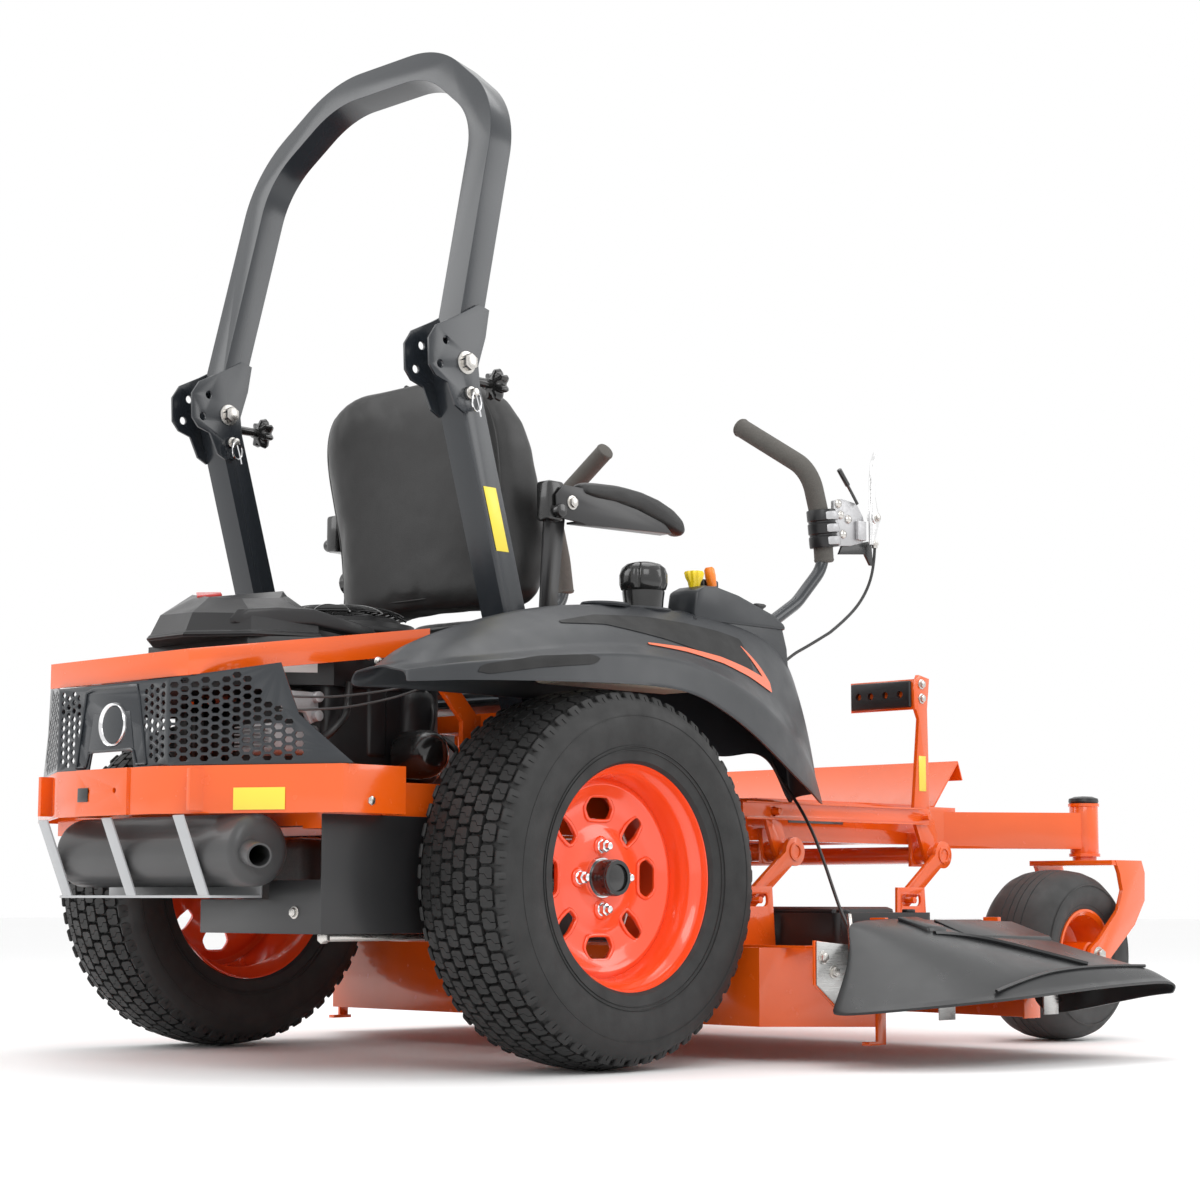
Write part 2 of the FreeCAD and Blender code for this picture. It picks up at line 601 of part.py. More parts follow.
# ---- fenders, tank and controls ----
# Fender stations: X; heights of inner foot, inner top, crest, shoulder and outer edge; Y of the last three.
FENDER = [
    (-412, 596, 628, 632, 620, 600, 420, 470, 500),
    (-330, 600, 664, 668, 640, 606, 420, 500, 530),
    (-220, 600, 704, 706, 660, 612, 425, 530, 560),
    (-100, 600, 738, 738, 684, 614, 430, 545, 575),
    (20, 600, 757, 756, 704, 618, 435, 550, 580),
    (140, 600, 762, 762, 704, 616, 440, 548, 580),
    (220, 590, 764, 764, 700, 586, 445, 545, 576),
    (300, 560, 764, 762, 690, 560, 450, 540, 566),
    (380, 530, 762, 756, 672, 520, 450, 525, 550),
    (460, 520, 758, 744, 644, 488, 450, 508, 528),
    (535, 580, 748, 726, 604, 464, 445, 486, 502),
    (590, 560, 640, 618, 540, 452, 440, 466, 478),
    (632, 448, 462, 462, 456, 446, 436, 450, 455),
]


def fender():
    grid = []
    for x, foot, inner, crest, shoulder, edge, y_crest, y_shoulder, y_edge in FENDER:
        grid.append([V(x, 376, foot), V(x, 376, inner - 10), V(x, 386, inner), V(x, y_crest, crest),
                     V(x, (y_crest + y_shoulder) / 2 + 8, crest * 0.55 + shoulder * 0.45), V(x, y_shoulder, shoulder),
                     V(x, y_edge, edge)])
    return shell(grid, -4.0)


def control_console():
    body = plate_xz([(292, 770), (300, 808), (330, 818), (400, 816), (530, 790), (560, 774), (560, 768)], -456, -386)
    body = softened(body, 7, lambda edge: edge.BoundBox.ZMax > 780)
    for x in (330, 505):
        body = body.cut(rod(V(x, -420, 760), V(x, -420, 830), 6))
    return body.cut(box(352, 402, -426, -414, 760, 830))


def fuel_tank():
    tank = softened(box(-60, 270, 402, 505, 622, 690), 18)
    neck = rod(V(FUEL_CAP.x, -FUEL_CAP.y, 680), V(FUEL_CAP.x, -FUEL_CAP.y, 790), 33)
    return mirrored(tank.fuse(neck))


def fuel_cap():
    centre = V(FUEL_CAP.x, FUEL_CAP.y, 0)
    cap = rod(centre + V(0, 0, 791), centre + V(0, 0, 832), 46)
    grips = []
    for k in range(8):
        turn = k * math.pi / 4
        spot = centre + V(46 * math.cos(turn), 46 * math.sin(turn), 0)
        grips.append(rod(spot + V(0, 0, 795), spot + V(0, 0, 828), 5))
    return softened(cap.cut(group(grips)), 1.5, lambda edge: edge.BoundBox.ZMin > 831)


def pto_knob():
    return rod(V(330, -420, 785), V(330, -420, 822), 5.9).fuse(
        Part.makeCone(12, 19, 30, V(330, -420, 820)))


def throttle_lever():
    pivot = rod(V(372, -425.5, 795), V(372, -414.5, 795), 4.5)
    stem = rod(V(372, -420, 795), V(378, -420, 830), 4)
    return pivot.fuse(stem).fuse(softened(rod(V(377, -420, 826), V(384, -420, 862), 8), 3))


def key_switch():
    return rod(V(505, -420, 775), V(505, -420, 803), 5.9).fuse(box(489, 521, -424, -416, 803, 813))


# ---- steering levers ----
def control_arm():
    plate = plate_xz([(452, 600), (488, 600), (505, 700), (520, 760), (452, 760), (446, 700)], 324, 331)
    hub = rod(V(ARM_PIVOT.x, 323, ARM_PIVOT.z), V(ARM_PIVOT.x, 340, ARM_PIVOT.z), 20)
    swing = pipe(V(452, LEVER_Y, SWING_PIVOT.z), V(500, LEVER_Y, SWING_PIVOT.z), 18, 12 + 2 * RUN)
    bridge = box(452, 500, 328, 333, 733, 757)
    bore = rod(V(452, LEVER_Y, SWING_PIVOT.z), V(500, LEVER_Y, SWING_PIVOT.z), 12 + RUN)
    arm = fused([plate, hub, swing, bridge]).cut(bore)
    return arm.cut(rod(V(ARM_PIVOT.x, 300, ARM_PIVOT.z), V(ARM_PIVOT.x, 350, ARM_PIVOT.z), 10 + RUN))


def steering_lever():
    points = [V(445, 345, 745), V(560, 345, 745), V(700, 345, 826), V(778, 350, 905), V(768, 352, 980),
              V(736, 350, 1083), V(728, 190, 1184)]
    tube = bent_rod(points, [120, 90, 70, 120, 70], 12)
    sleeve = [V(777, 350, 912), V(768, 352, 980), V(736, 350, 1083), V(727, 184, 1187)]
    grip = bent_rod(sleeve, [120, 70], 19)
    grip = grip.cut(tube)
    return group([tube, grip])


def hand_lever_bracket():
    clamp = pipe(V(777, -352, 935), V(766, -351.5, 1012), 27, 19.2)
    plate = plate_xz([(790, 935), (885, 955), (905, 1000), (880, 1030), (800, 1034)], -372, -364)
    bracket = fused([clamp, plate, box(786, 812, -372, -352, 950, 1010)])
    return bracket.cut(rod(V(779, -352, 920), V(764, -351.3, 1025), 19.2))


def hand_lever():
    return fused([rod(V(895, -386, 1005), V(895, -372.5, 1005), 15),
                  bent_rod([V(895, -380, 1005), V(893, -380, 1060), V(903, -380, 1137)], [150], 5),
                  box(885, 905, -384, -374, 950, 1000)])


# The lever's cable, as points of straight runs joined by arcs, in its two stretches.
HAND_CABLE = [V(895, -380, 946), V(893, -379, 905), V(866, -378, 852), V(815, -377, 805),
              V(760, -376, 772), V(700, -372, 742), V(655, -368, 722), V(610, -366, 690)]
DECK_CABLE = [V(609, -366, 686.8), V(596, -367, 642), V(588, -367.5, 595), V(584, -371, 545),
              V(586, -394, 494), V(592, -430, 448), V(582, -474, 396), V(548, -530, 336),
              V(500, -590, 284), V(452, -648, 240), V(426, -686, 214)]


# ---- deck lift ----
def lift_pedal():
    shaft = pipe(V(LIFT_FRONT.x, -432, LIFT_FRONT.z), V(LIFT_FRONT.x, 432, LIFT_FRONT.z), 17, 11)
    post = plate_xz([(1020, 340), (1056, 345), (1052, 400), (1030, 445), (1026, 640), (1034, 700), (1000, 706),
                     (985, 680), (985, 650), (1000, 620), (980, 446), (985, 415)], -402, -394)
    pad = box(986, 992, -402, -245, 638, 697)
    arms = [arm_plate(LIFT_FRONT, y) for y in (-424, 424)]
    pin = rod(V(1001, -424, 429), V(1001, -394, 429), 6)
    return fused([shaft, post, pad, pin] + arms)


def arm_plate(pivot, y):
    """A lift arm with its boss on the shaft and the pin that carries the deck."""
    end = pivot + LIFT_ARM
    bar = beam(pivot + V(0, y, 0), end + V(0, y, 0), 10, 30)
    boss = rod(V(pivot.x, y - 5, pivot.z), V(pivot.x, y + 5, pivot.z), 26)
    tip = rod(V(end.x, y - 5, end.z), V(end.x, y + 5, end.z), 15)
    out = math.copysign(1, y)
    pin = rod(V(end.x, y, end.z), V(end.x, y + 26 * out, end.z), 6)
    return fused([bar, boss, tip, pin])


def rear_lift_shaft():
    shaft = pipe(V(LIFT_REAR.x, -432, LIFT_REAR.z), V(LIFT_REAR.x, 432, LIFT_REAR.z), 17, 11)
    lever = plate_xz([(570, 345), (610, 345), (570, 440), (540, 440), (540, 415)], -402, -394)
    arms = [arm_plate(LIFT_REAR, y) for y in (-424, 424)]
    pin = rod(V(555, -424, 429), V(555, -394, 429), 6)
    return fused([shaft, lever, pin] + arms)


def lift_link():
    web = box(470, 1022, -408.5, -404.5, 414, 446)
    web = softened(web, 10, lambda edge: edge.BoundBox.YLength > 3 and edge.BoundBox.XMax > 1021)
    flanges = [box(470, 985, -418, -404.5, z, z + 3) for z in (414, 443)]
    link = fused([web] + flanges)
    link = link.cut(rod(V(1001, -430, 429), V(1001, -390, 429), 6 + RUN))
    return link.cut(rod(V(555, -430, 429), V(555, -390, 429), 9))


# ---- cutting deck ----
def deck_plan(inset):
    k = inset * 0.42
    x0, x1, y1 = DECK_X0 + inset, DECK_X1 - inset, DECK_Y - inset
    return [(x0, -560 + k), (x0, 560 - k), (x0 + 140 - k, y1), (x1 - 150, y1), (x1 - 60, 620 - k), (x1, 420),
            (x1, -420), (x1 - 30, -y1), (x0 + 140 - k, -y1)]


def deck_shell():
    outer = plate_xy(deck_plan(0), DECK_Z0, DECK_Z1)
    inner = plate_xy(deck_plan(4), DECK_Z0 - 1, DECK_Z1 - 5)
    shell_part = outer.cut(inner)
    shell_part = shell_part.cut(box(OPENING_X0, OPENING_X1, -720, -640, DECK_Z0 - 1, 172))
    lip = box(360, 980, -640, 640, DECK_Z1, DECK_Z1 + 4).cut(box(370, 970, -630, 630, 180, 200))
    hangers = []
    for pivot in (LIFT_FRONT, LIFT_REAR):
        end = pivot + LIFT_ARM
        for y in (440, -446):
            post = plate_xz([(end.x - 50, DECK_Z1 - 2), (end.x + 44, DECK_Z1 - 2), (end.x + 36, 294),
                             (end.x - 48, 294)], y, y + 6)
            slot = softened(box(end.x - 36, end.x + 24, y - 5, y + 11, end.z - 11, end.z + 11), 9, across)
            hangers.append(post.cut(slot))
    lugs = [box(x, x + 10, -684, -652, DECK_Z1 - 2, 240) for x in (520, 850)]
    rod_part = rod(V(505, CHUTE_HINGE.y, CHUTE_HINGE.z), V(875, CHUTE_HINGE.y, CHUTE_HINGE.z), 6)
    bracket = plate_xz([(306, 204), (390, 196), (485, 186), (485, 150), (392, 140), (392, 110), (369, 88),
                        (306, 131)], -705, -DECK_Y)
    tab = plate_xz([(420, 188), (470, 188), (470, 226), (432, 226)], -699, -694)
    skid = box(470, 492, DECK_Y, DECK_Y + 6, 32, 120).fuse(box(446, 492, DECK_Y - 10, DECK_Y + 6, 28, 34))
    skids = [skid, mirrored(skid)]
    parts = [shell_part, lip, rod_part, tab, bracket] + hangers + lugs + skids
    bores = [rod(at + V(0, 0, 150), at + V(0, 0, 210), 17.5 + RUN) for at in BLADES.values()]
    return fused(parts).cut(group(bores))


def belt_covers():
    cover = []
    for y0, y1 in ((200, 590), (-590, -200)):
        block = softened(box(522, 790, y0, y1, DECK_Z1 + 0.5, 248), 24, upright)
        cover.append(block.cut(box(528, 784, y0 + 8, y1 - 8, DECK_Z1, 243)))
    return group(cover)


def discharge_chute():
    grid = [
        [V(404, -700, 222), V(380, -722, 190), V(330, -745, 140), V(278, -765, 94)],
        [V(420, -690, 232), V(430, -750, 214), V(392, -830, 158), V(345, -880, 108)],
        [V(520, -690, 236), V(520, -790, 204), V(505, -900, 158), V(470, -962, 118)],
        [V(700, -690, 232), V(700, -800, 196), V(700, -920, 164), V(700, -985, 128)],
        [V(880, -690, 226), V(890, -800, 190), V(902, -920, 164), V(918, -992, 136)],
        [V(914, -707, 200), V(926, -800, 160), V(934, -920, 142), V(938, -992, 120)],
        [V(918, -707, 130), V(928, -800, 112), V(934, -920, 116), V(938, -990, 102)],
        [V(918, -707, 78), V(928, -800, 68), V(934, -920, 92), V(937, -986, 88)],
    ]
    skin = shell([line[::-1] for line in grid], 6.0)
    hinge = [pipe(V(x, CHUTE_HINGE.y, CHUTE_HINGE.z), V(x + 110, CHUTE_HINGE.y, CHUTE_HINGE.z), 14, 6 + RUN)
             for x in (560, 710)]
    tabs = [box(x, x + 110, -705, -675, 224, 232) for x in (560, 710)]
    chute = fused([skin] + hinge + tabs)
    return chute.cut(rod(V(400, CHUTE_HINGE.y, CHUTE_HINGE.z), V(950, CHUTE_HINGE.y, CHUTE_HINGE.z), 6 + RUN))


def chute_blocker():
    """The door that closes the opening: it stands folded up under the chute."""
    plate = box(530, 880, -790, -712, 150, 153)
    ends = [plate_xz([(x, 153), (x + 44, 153), (x + 44, 70), (x, 70)], -790, -787) for x in (530, 836)]
    pin = rod(V(524, -716, 150), V(886, -716, 150), 5)
    return fused([plate, pin] + ends)


def blade(at):
    bar = softened(box(at.x - 31, at.x + 31, at.y - 235, at.y + 235, 92, 97), 8, upright)
    spindle = rod(at + V(0, 0, 84), at + V(0, 0, 236), 17.5)
    pulley = rod(at + V(0, 0, 206), at + V(0, 0, 230), 62)
    groove = pipe(at + V(0, 0, 213), at + V(0, 0, 223), 63, 52)
    nut = hexagon_bar(at + V(0, 0, 76), V(0, 0, 1), 30, 16)
    return fused([bar, spindle, pulley, nut]).cut(groove)


# ---- the whole machine ----
for make in (main_frame, rear_bumper, upper_guard, guard_grille, muffler, muffler_cage, rear_skirt,
             foot_pan, engine_block, engine_shroud, air_cleaner_cover, engine_fan_screen, oil_filter,
             transaxles, rops_posts, rops_loop, rops_lock_pins, seat_pan, seat_cushion, seat_back,
             control_console, fuel_tank, fuel_cap, pto_knob, throttle_lever, key_switch,
             hand_lever_bracket, hand_lever, lift_pedal, rear_lift_shaft, lift_link, deck_shell,
             belt_covers, discharge_chute, chute_blocker):
    nodes[make.__name__] = make()
for make in (rear_tyre, rear_rim, wheel_hub, caster_fork, caster_tyre, caster_rim, armrest, fender, control_arm,
             steering_lever):
    pair(make.__name__, make())
nodes["hand_lever_bracket"] = nodes["hand_lever_bracket"].cut(nodes["steering_lever_right"])
filler_hole = rod(FUEL_CAP + V(0, 0, 700), FUEL_CAP + V(0, 0, 780), 36)
nodes["fender_right"] = nodes["fender_right"].cut(filler_hole)
for side, at in BLADES.items():
    nodes["blade_" + side] = blade(at)
nodes["hand_cable_upper"] = cable(HAND_CABLE, 3.0)
nodes["hand_cable_lower"] = cable(DECK_CABLE, 3.0)

whole = Part.makeCompound(list(nodes.values())).optimalBoundingBox()
shift = V(-(whole.XMin + whole.XMax) / 2, -(whole.YMin + whole.YMax) / 2, -whole.ZMin)
print("shift", shift, "size", whole.XLength, whole.YLength, whole.ZLength, "nodes", len(nodes))
os.makedirs("parts", exist_ok=True)
for name, shape in nodes.items():
    placed = shape.copy()
    placed.translate(shift)
    placed.exportStep("parts/" + name + ".step")
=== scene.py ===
import json
import math
import random

import bpy
from mathutils import Matrix, Vector


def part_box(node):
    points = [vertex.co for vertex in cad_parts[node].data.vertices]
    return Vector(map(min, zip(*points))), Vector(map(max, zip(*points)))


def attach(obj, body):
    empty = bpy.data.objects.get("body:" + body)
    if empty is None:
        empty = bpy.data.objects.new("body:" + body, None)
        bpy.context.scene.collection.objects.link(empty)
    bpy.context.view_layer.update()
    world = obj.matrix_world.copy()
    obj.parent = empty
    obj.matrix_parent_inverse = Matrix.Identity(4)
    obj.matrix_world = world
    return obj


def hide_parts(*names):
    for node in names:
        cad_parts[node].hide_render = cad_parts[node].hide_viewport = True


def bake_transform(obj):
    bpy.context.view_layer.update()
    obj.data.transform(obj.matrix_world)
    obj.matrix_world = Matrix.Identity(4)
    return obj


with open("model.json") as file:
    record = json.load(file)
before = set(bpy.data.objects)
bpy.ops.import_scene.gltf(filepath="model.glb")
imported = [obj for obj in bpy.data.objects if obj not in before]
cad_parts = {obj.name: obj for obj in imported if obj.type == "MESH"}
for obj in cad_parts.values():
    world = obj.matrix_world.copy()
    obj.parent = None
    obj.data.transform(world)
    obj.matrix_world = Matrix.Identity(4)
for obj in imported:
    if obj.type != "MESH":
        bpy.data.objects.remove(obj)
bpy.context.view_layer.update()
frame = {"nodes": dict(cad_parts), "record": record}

# Zero turn mower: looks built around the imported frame. Metres, the frame's own axes:
# +X forwards, +Y to the operator's left, +Z up.
random.seed(11)
MM = 0.001
TURN = 2 * math.pi
nodes = frame["nodes"]
LEFT_TYRE, RIGHT_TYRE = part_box("rear_tyre_left"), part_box("rear_tyre_right")
AXLE = Vector(((LEFT_TYRE[0].x + LEFT_TYRE[1].x) / 2,
               (LEFT_TYRE[1].y + RIGHT_TYRE[0].y) / 2, 0))


def at(x, y, z):
    """A point measured in millimetres from the ground under the rear axle's middle."""
    return AXLE + Vector((x, y, z)) * MM


def middle(node):
    low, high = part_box(node)
    return (low + high) / 2


# ---------------------------------------------------------------- shader tools
class Value:
    """A shader number that takes plain arithmetic."""

    def __init__(self, finish, socket):
        self.finish, self.socket = finish, socket

    def math(self, operation, *others):
        return self.finish.node("ShaderNodeMath", {"operation": operation}, self, *others)

    def __add__(self, other):
        return self.math("ADD", other)

    def __mul__(self, other):
        return self.math("MULTIPLY", other)

    def __sub__(self, other):
        return self.math("SUBTRACT", other)

    def __rsub__(self, other):
        return self.finish.node("ShaderNodeMath", {"operation": "SUBTRACT"}, other, self)

    __radd__, __rmul__ = __add__, __mul__

    def band(self, low, high, out_low=0.0, out_high=1.0):
        return self.finish.node("ShaderNodeMapRange", {}, self, low, high, out_low, out_high)


class Finish:
    """One surface finish: a Principled material and the nodes that vary it."""

    def __init__(self, name, colour, roughness, **constants):
        self.material = bpy.data.materials.new(name)
        self.material.use_nodes = True
        self.tree = self.material.node_tree
        self.shader = self.tree.nodes["Principled BSDF"]
        self.colour = (*colour, 1.0)
        self.shader.inputs["Base Color"].default_value = self.colour
        self.shader.inputs["Roughness"].default_value = roughness
        for socket, value in constants.items():
            self.shader.inputs[socket.replace("_", " ")].default_value = value
        self.material.diffuse_color = self.colour
        self.place = self.node("ShaderNodeTexCoord", {}, out="Object")

    def node(self, kind, settings, *inputs, out=0, **named):
        new = self.tree.nodes.new(kind)
        for key, value in settings.items():
            setattr(new, key, value)
        for key, value in [*enumerate(inputs), *named.items()]:
            socket = new.inputs[key.replace("_", " ") if isinstance(key, str) else key]
            if isinstance(value, Value):
                self.tree.links.new(value.socket, socket)
            else:
                socket.default_value = value
        return Value(self, new.outputs[out])

    def noise(self, scale, detail=2.0, roughness=0.5, place=None):
        return self.node("ShaderNodeTexNoise", {}, Vector=place or self.place, Scale=scale,
                         Detail=detail, Roughness=roughness)

    def stretched(self, sx, sy, sz):
        return self.node("ShaderNodeMapping", {}, Vector=self.place, Scale=(sx, sy, sz))

    def mix(self, factor, first, second):
        new = self.tree.nodes.new("ShaderNodeMix")
        new.data_type = "RGBA"
        for index, value in ((0, factor), (6, first), (7, second)):
            if isinstance(value, Value):
                self.tree.links.new(value.socket, new.inputs[index])
            else:
                new.inputs[index].default_value = value
        return Value(self, new.outputs[2])

    def shade(self, amount):
        """The base colour made darker or lighter."""
        return (*[min(1.0, c * amount) for c in self.colour[:3]], 1.0)

    def set(self, socket, value):
        self.tree.links.new(value.socket, self.shader.inputs[socket])

    def bump(self, height, strength, distance):
        self.set("Normal", self.node("ShaderNodeBump", {}, Height=height, Strength=strength,
                                     Distance=distance))


# ---------------------------------------------------------------- finishes
def gloss_paint(name, colour, roughness=0.22, coat=0.6, peel=0.05):
    """Baked enamel over sheet metal: a thin clear gloss with slight orange peel."""
    paint = Finish(name, colour, roughness, Coat_Weight=coat, Coat_Roughness=0.06)
    cloud = paint.noise(4.0, 3.0)
    paint.set("Base Color", paint.mix(cloud.band(0.3, 0.7), paint.shade(0.93), paint.shade(1.06)))
    wear = paint.noise(38.0, 4.0)
    paint.set("Roughness", wear.band(0.35, 0.75, roughness * 0.85, roughness * 1.5))
    paint.bump(paint.noise(420.0, 1.0), peel, 0.0006)
    return paint.material


def powder_coat(name, colour, roughness=0.34):
    """Dark powder coat: finely pebbled with a satin gloss."""
    coat = Finish(name, colour, roughness, Coat_Weight=0.25, Coat_Roughness=0.18)
    cloud = coat.noise(6.0, 3.0)
    coat.set("Base Color", coat.mix(cloud, coat.shade(0.9), coat.shade(1.1)))
    coat.set("Roughness", coat.noise(9.0, 2.0).band(0.3, 0.7, roughness * 0.92, roughness * 1.12))
    coat.bump(coat.noise(900.0, 2.0), 0.05, 0.0003)
    return coat.material


def moulded_plastic(name, colour, roughness=0.46, grain=0.22):
    """Moulded cover with spark-eroded grain and faint flow marks."""
    cover = Finish(name, colour, roughness)
    flow = cover.noise(2.6, 4.0, place=cover.stretched(1, 2.4, 1))
    cover.set("Base Color", cover.mix(flow.band(0.3, 0.7), cover.shade(0.88), cover.shade(1.12)))
    cover.set("Roughness", cover.noise(24.0, 3.0).band(0.3, 0.7, roughness * 0.88, roughness * 1.15))
    pebble = cover.node("ShaderNodeTexVoronoi", {}, Vector=cover.place, Scale=1300.0)
    cover.bump(pebble + cover.noise(700.0, 2.0), grain, 0.0003)
    return cover.material


def tyre_rubber(name, colour):
    """Moulded rubber, faintly dusty, with fine flow grain."""
    rubber = Finish(name, colour, 0.62)
    dust = rubber.noise(7.0, 5.0).band(0.45, 0.75) * 0.45
    rubber.set("Base Color", rubber.mix(dust, rubber.shade(0.85), rubber.shade(1.35)))
    rubber.set("Roughness", rubber.noise(30.0, 4.0).band(0.3, 0.7, 0.52, 0.74))
    rubber.bump(rubber.noise(260.0, 4.0), 0.25, 0.0006)
    return rubber.material


def grained_vinyl(name, colour):
    """Seat vinyl: small leather cells, with shade painted darker into the creases between them."""
    vinyl = Finish(name, colour, 0.42)
    cells = vinyl.node("ShaderNodeTexVoronoi", {"feature": "DISTANCE_TO_EDGE"},
                       Vector=vinyl.place, Scale=430.0)
    crease = cells.band(0.0, 0.18)
    soft = vinyl.noise(9.0, 3.0)
    # painted shade: the creases between the cells are darkened in the base colour
    vinyl.set("Base Color", vinyl.mix(crease, vinyl.shade(0.7), vinyl.shade(1.08)))
    vinyl.set("Roughness", soft.band(0.3, 0.7, 0.36, 0.5))
    vinyl.bump(crease * 0.7 + vinyl.noise(120.0, 3.0) * 0.5, 0.3, 0.0005)
    return vinyl.material


def foam_grip(name, colour):
    """Soft closed-cell foam sleeve."""
    foam = Finish(name, colour, 0.78)
    cells = foam.node("ShaderNodeTexVoronoi", {}, Vector=foam.place, Scale=620.0)
    foam.set("Base Color", foam.mix(cells.band(0.1, 0.6), foam.shade(1.1), foam.shade(0.8)))
    foam.set("Roughness", foam.noise(80.0, 3.0).band(0.3, 0.7, 0.7, 0.86))
    foam.bump(cells, 0.4, 0.0005)
    return foam.material


def bare_metal(name, colour, roughness, grain=(1, 40, 1)):
    """Plated or brushed metal with drawn grain."""
    metal = Finish(name, colour, roughness, Metallic=1.0)
    lines = metal.noise(30.0, 4.0, place=metal.stretched(*grain))
    metal.set("Base Color", metal.mix(lines, metal.shade(0.85), metal.shade(1.1)))
    metal.set("Roughness", lines.band(0.3, 0.7, roughness * 0.7, roughness * 1.5))
    metal.bump(lines, 0.08, 0.0003)
    return metal.material


def cast_metal(name, colour, roughness=0.5):
    """Sand-cast alloy with a pebbled skin."""
    cast = Finish(name, colour, roughness, Metallic=0.75)
    sand = cast.noise(240.0, 4.0)
    cast.set("Base Color", cast.mix(cast.noise(12.0, 3.0), cast.shade(0.75), cast.shade(1.15)))
    cast.set("Roughness", sand.band(0.3, 0.7, roughness * 0.8, roughness * 1.25))
    cast.bump(sand, 0.35, 0.0007)
    return cast.material


ORANGE = gloss_paint("orange_enamel", (0.80, 0.105, 0.004), 0.2, 0.7)
WHEEL_RED = gloss_paint("wheel_enamel", (0.88, 0.075, 0.014), 0.18, 0.8, 0.03)
DARK = powder_coat("charcoal_powder_coat", (0.016, 0.0195, 0.024), 0.24)
BLACK_STEEL = powder_coat("black_powder_coat", (0.016, 0.016, 0.017), 0.38)
GREY_COVER = moulded_plastic("charcoal_moulding", (0.022, 0.0245, 0.028), 0.38)
BLACK_COVER = moulded_plastic("black_moulding", (0.011, 0.011, 0.012), 0.34)
BAND_BLACK = moulded_plastic("matt_black_band", (0.006, 0.006, 0.006), 0.62, 0.05)
GLOSS_BLACK = gloss_paint("black_gloss_plastic", (0.012, 0.012, 0.012), 0.2, 0.4, 0.02)
TYRE = tyre_rubber("tyre_rubber", (0.016, 0.016, 0.016))
VINYL = grained_vinyl("seat_vinyl", (0.021, 0.021, 0.021))
FOAM = foam_grip("grip_foam", (0.105, 0.098, 0.088))
ZINC = bare_metal("zinc_plate", (0.62, 0.60, 0.57), 0.24)
CHROME = bare_metal("bright_chrome", (0.82, 0.82, 0.83), 0.08, (1, 8, 1))
STAINLESS = bare_metal("brushed_stainless", (0.56, 0.56, 0.55), 0.3, (1, 1, 30))
ALLOY = cast_metal("cast_alloy", (0.52, 0.52, 0.53))
DRIVE_CASE = cast_metal("drive_case_paint", (0.05, 0.05, 0.05))
MUFFLER_PAINT = powder_coat("heatproof_paint", (0.045, 0.045, 0.046), 0.5)
SILVER_PAINT = powder_coat("silver_paint", (0.42, 0.43, 0.44), 0.32)
YELLOW = gloss_paint("yellow_plastic", (0.85, 0.62, 0.01), 0.3, 0.3, 0.02)
LEVER_ORANGE = gloss_paint("lever_plastic", (0.9, 0.22, 0.01), 0.3, 0.3, 0.02)
LABEL = gloss_paint("yellow_sticker", (0.86, 0.68, 0.06), 0.35, 0.2, 0.01)
WHITE_LABEL = gloss_paint("white_sticker", (0.78, 0.78, 0.76), 0.35, 0.2, 0.01)
TANK = moulded_plastic("natural_tank", (0.78, 0.74, 0.60), 0.4, 0.08)
CABLE = moulded_plastic("cable_jacket", (0.014, 0.014, 0.014), 0.38, 0.1)
BELLOWS = moulded_plastic("grey_bellows", (0.16, 0.175, 0.19), 0.5, 0.1)
CHUTE_BLACK = moulded_plastic("chute_polyethylene", (0.014, 0.015, 0.016), 0.3, 0.12)
CASTER_RUBBER = tyre_rubber("caster_rubber", (0.036, 0.036, 0.036))
CABLE_GREY = moulded_plastic("grey_cable", (0.08, 0.08, 0.08), 0.3, 0.1)
POLISHED = bare_metal("polished_lever", (0.86, 0.86, 0.86), 0.16, (1, 1, 12))
RED_ACCENT = gloss_paint("red_accent", (0.55, 0.02, 0.015), 0.3, 0.3, 0.02)


# ---------------------------------------------------------------- modelling tools
def alone(piece):
    bpy.ops.object.select_all(action="DESELECT")
    piece.select_set(True)
    bpy.context.view_layer.objects.active = piece


def settle(piece):
    """Puts a piece's place into its mesh."""
    alone(piece)
    bpy.ops.object.transform_apply(location=True, rotation=True, scale=True)
    return piece


def finish_modifiers(piece):
    alone(piece)
    for modifier in list(piece.modifiers):
        bpy.ops.object.modifier_apply(modifier=modifier.name)
    return piece


def smooth(piece, angle=35):
    alone(piece)
    bpy.ops.object.shade_smooth_by_angle(angle=math.radians(angle))
    return piece


def outward(piece):
    """Merges doubles and turns every face outwards."""
    alone(piece)
    bpy.ops.object.mode_set(mode="EDIT")
    bpy.ops.mesh.select_all(action="SELECT")
    bpy.ops.mesh.remove_doubles(threshold=1e-5)
    bpy.ops.mesh.normals_make_consistent(inside=False)
    bpy.ops.object.mode_set(mode="OBJECT")
    return piece


def bevelled(piece, width, segments=2, angle=35, clamp=True):
    modifier = piece.modifiers.new("edge", "BEVEL")
    modifier.width = width * MM
    modifier.segments = segments
    modifier.limit_method = "ANGLE"
    modifier.angle_limit = math.radians(angle)
    modifier.use_clamp_overlap = clamp
    modifier.harden_normals = False
    finish_modifiers(piece)
    return smooth(piece, 40)


def joined(name, pieces):
    bpy.ops.object.select_all(action="DESELECT")
    for piece in pieces:
        piece.select_set(True)
    bpy.context.view_layer.objects.active = pieces[0]
    if len(pieces) > 1:
        bpy.ops.object.join()
    pieces[0].name = name
    return pieces[0]


def block(low, high, bevel=0.0, segments=2):
    """A bevelled block between two corners."""
    low, high = Vector(low), Vector(high)
    bpy.ops.mesh.primitive_cube_add(size=1, location=(low + high) / 2)
    piece = bpy.context.object
    piece.scale = high - low
    settle(piece)
    if bevel:
        bevelled(piece, bevel, segments)
    return piece


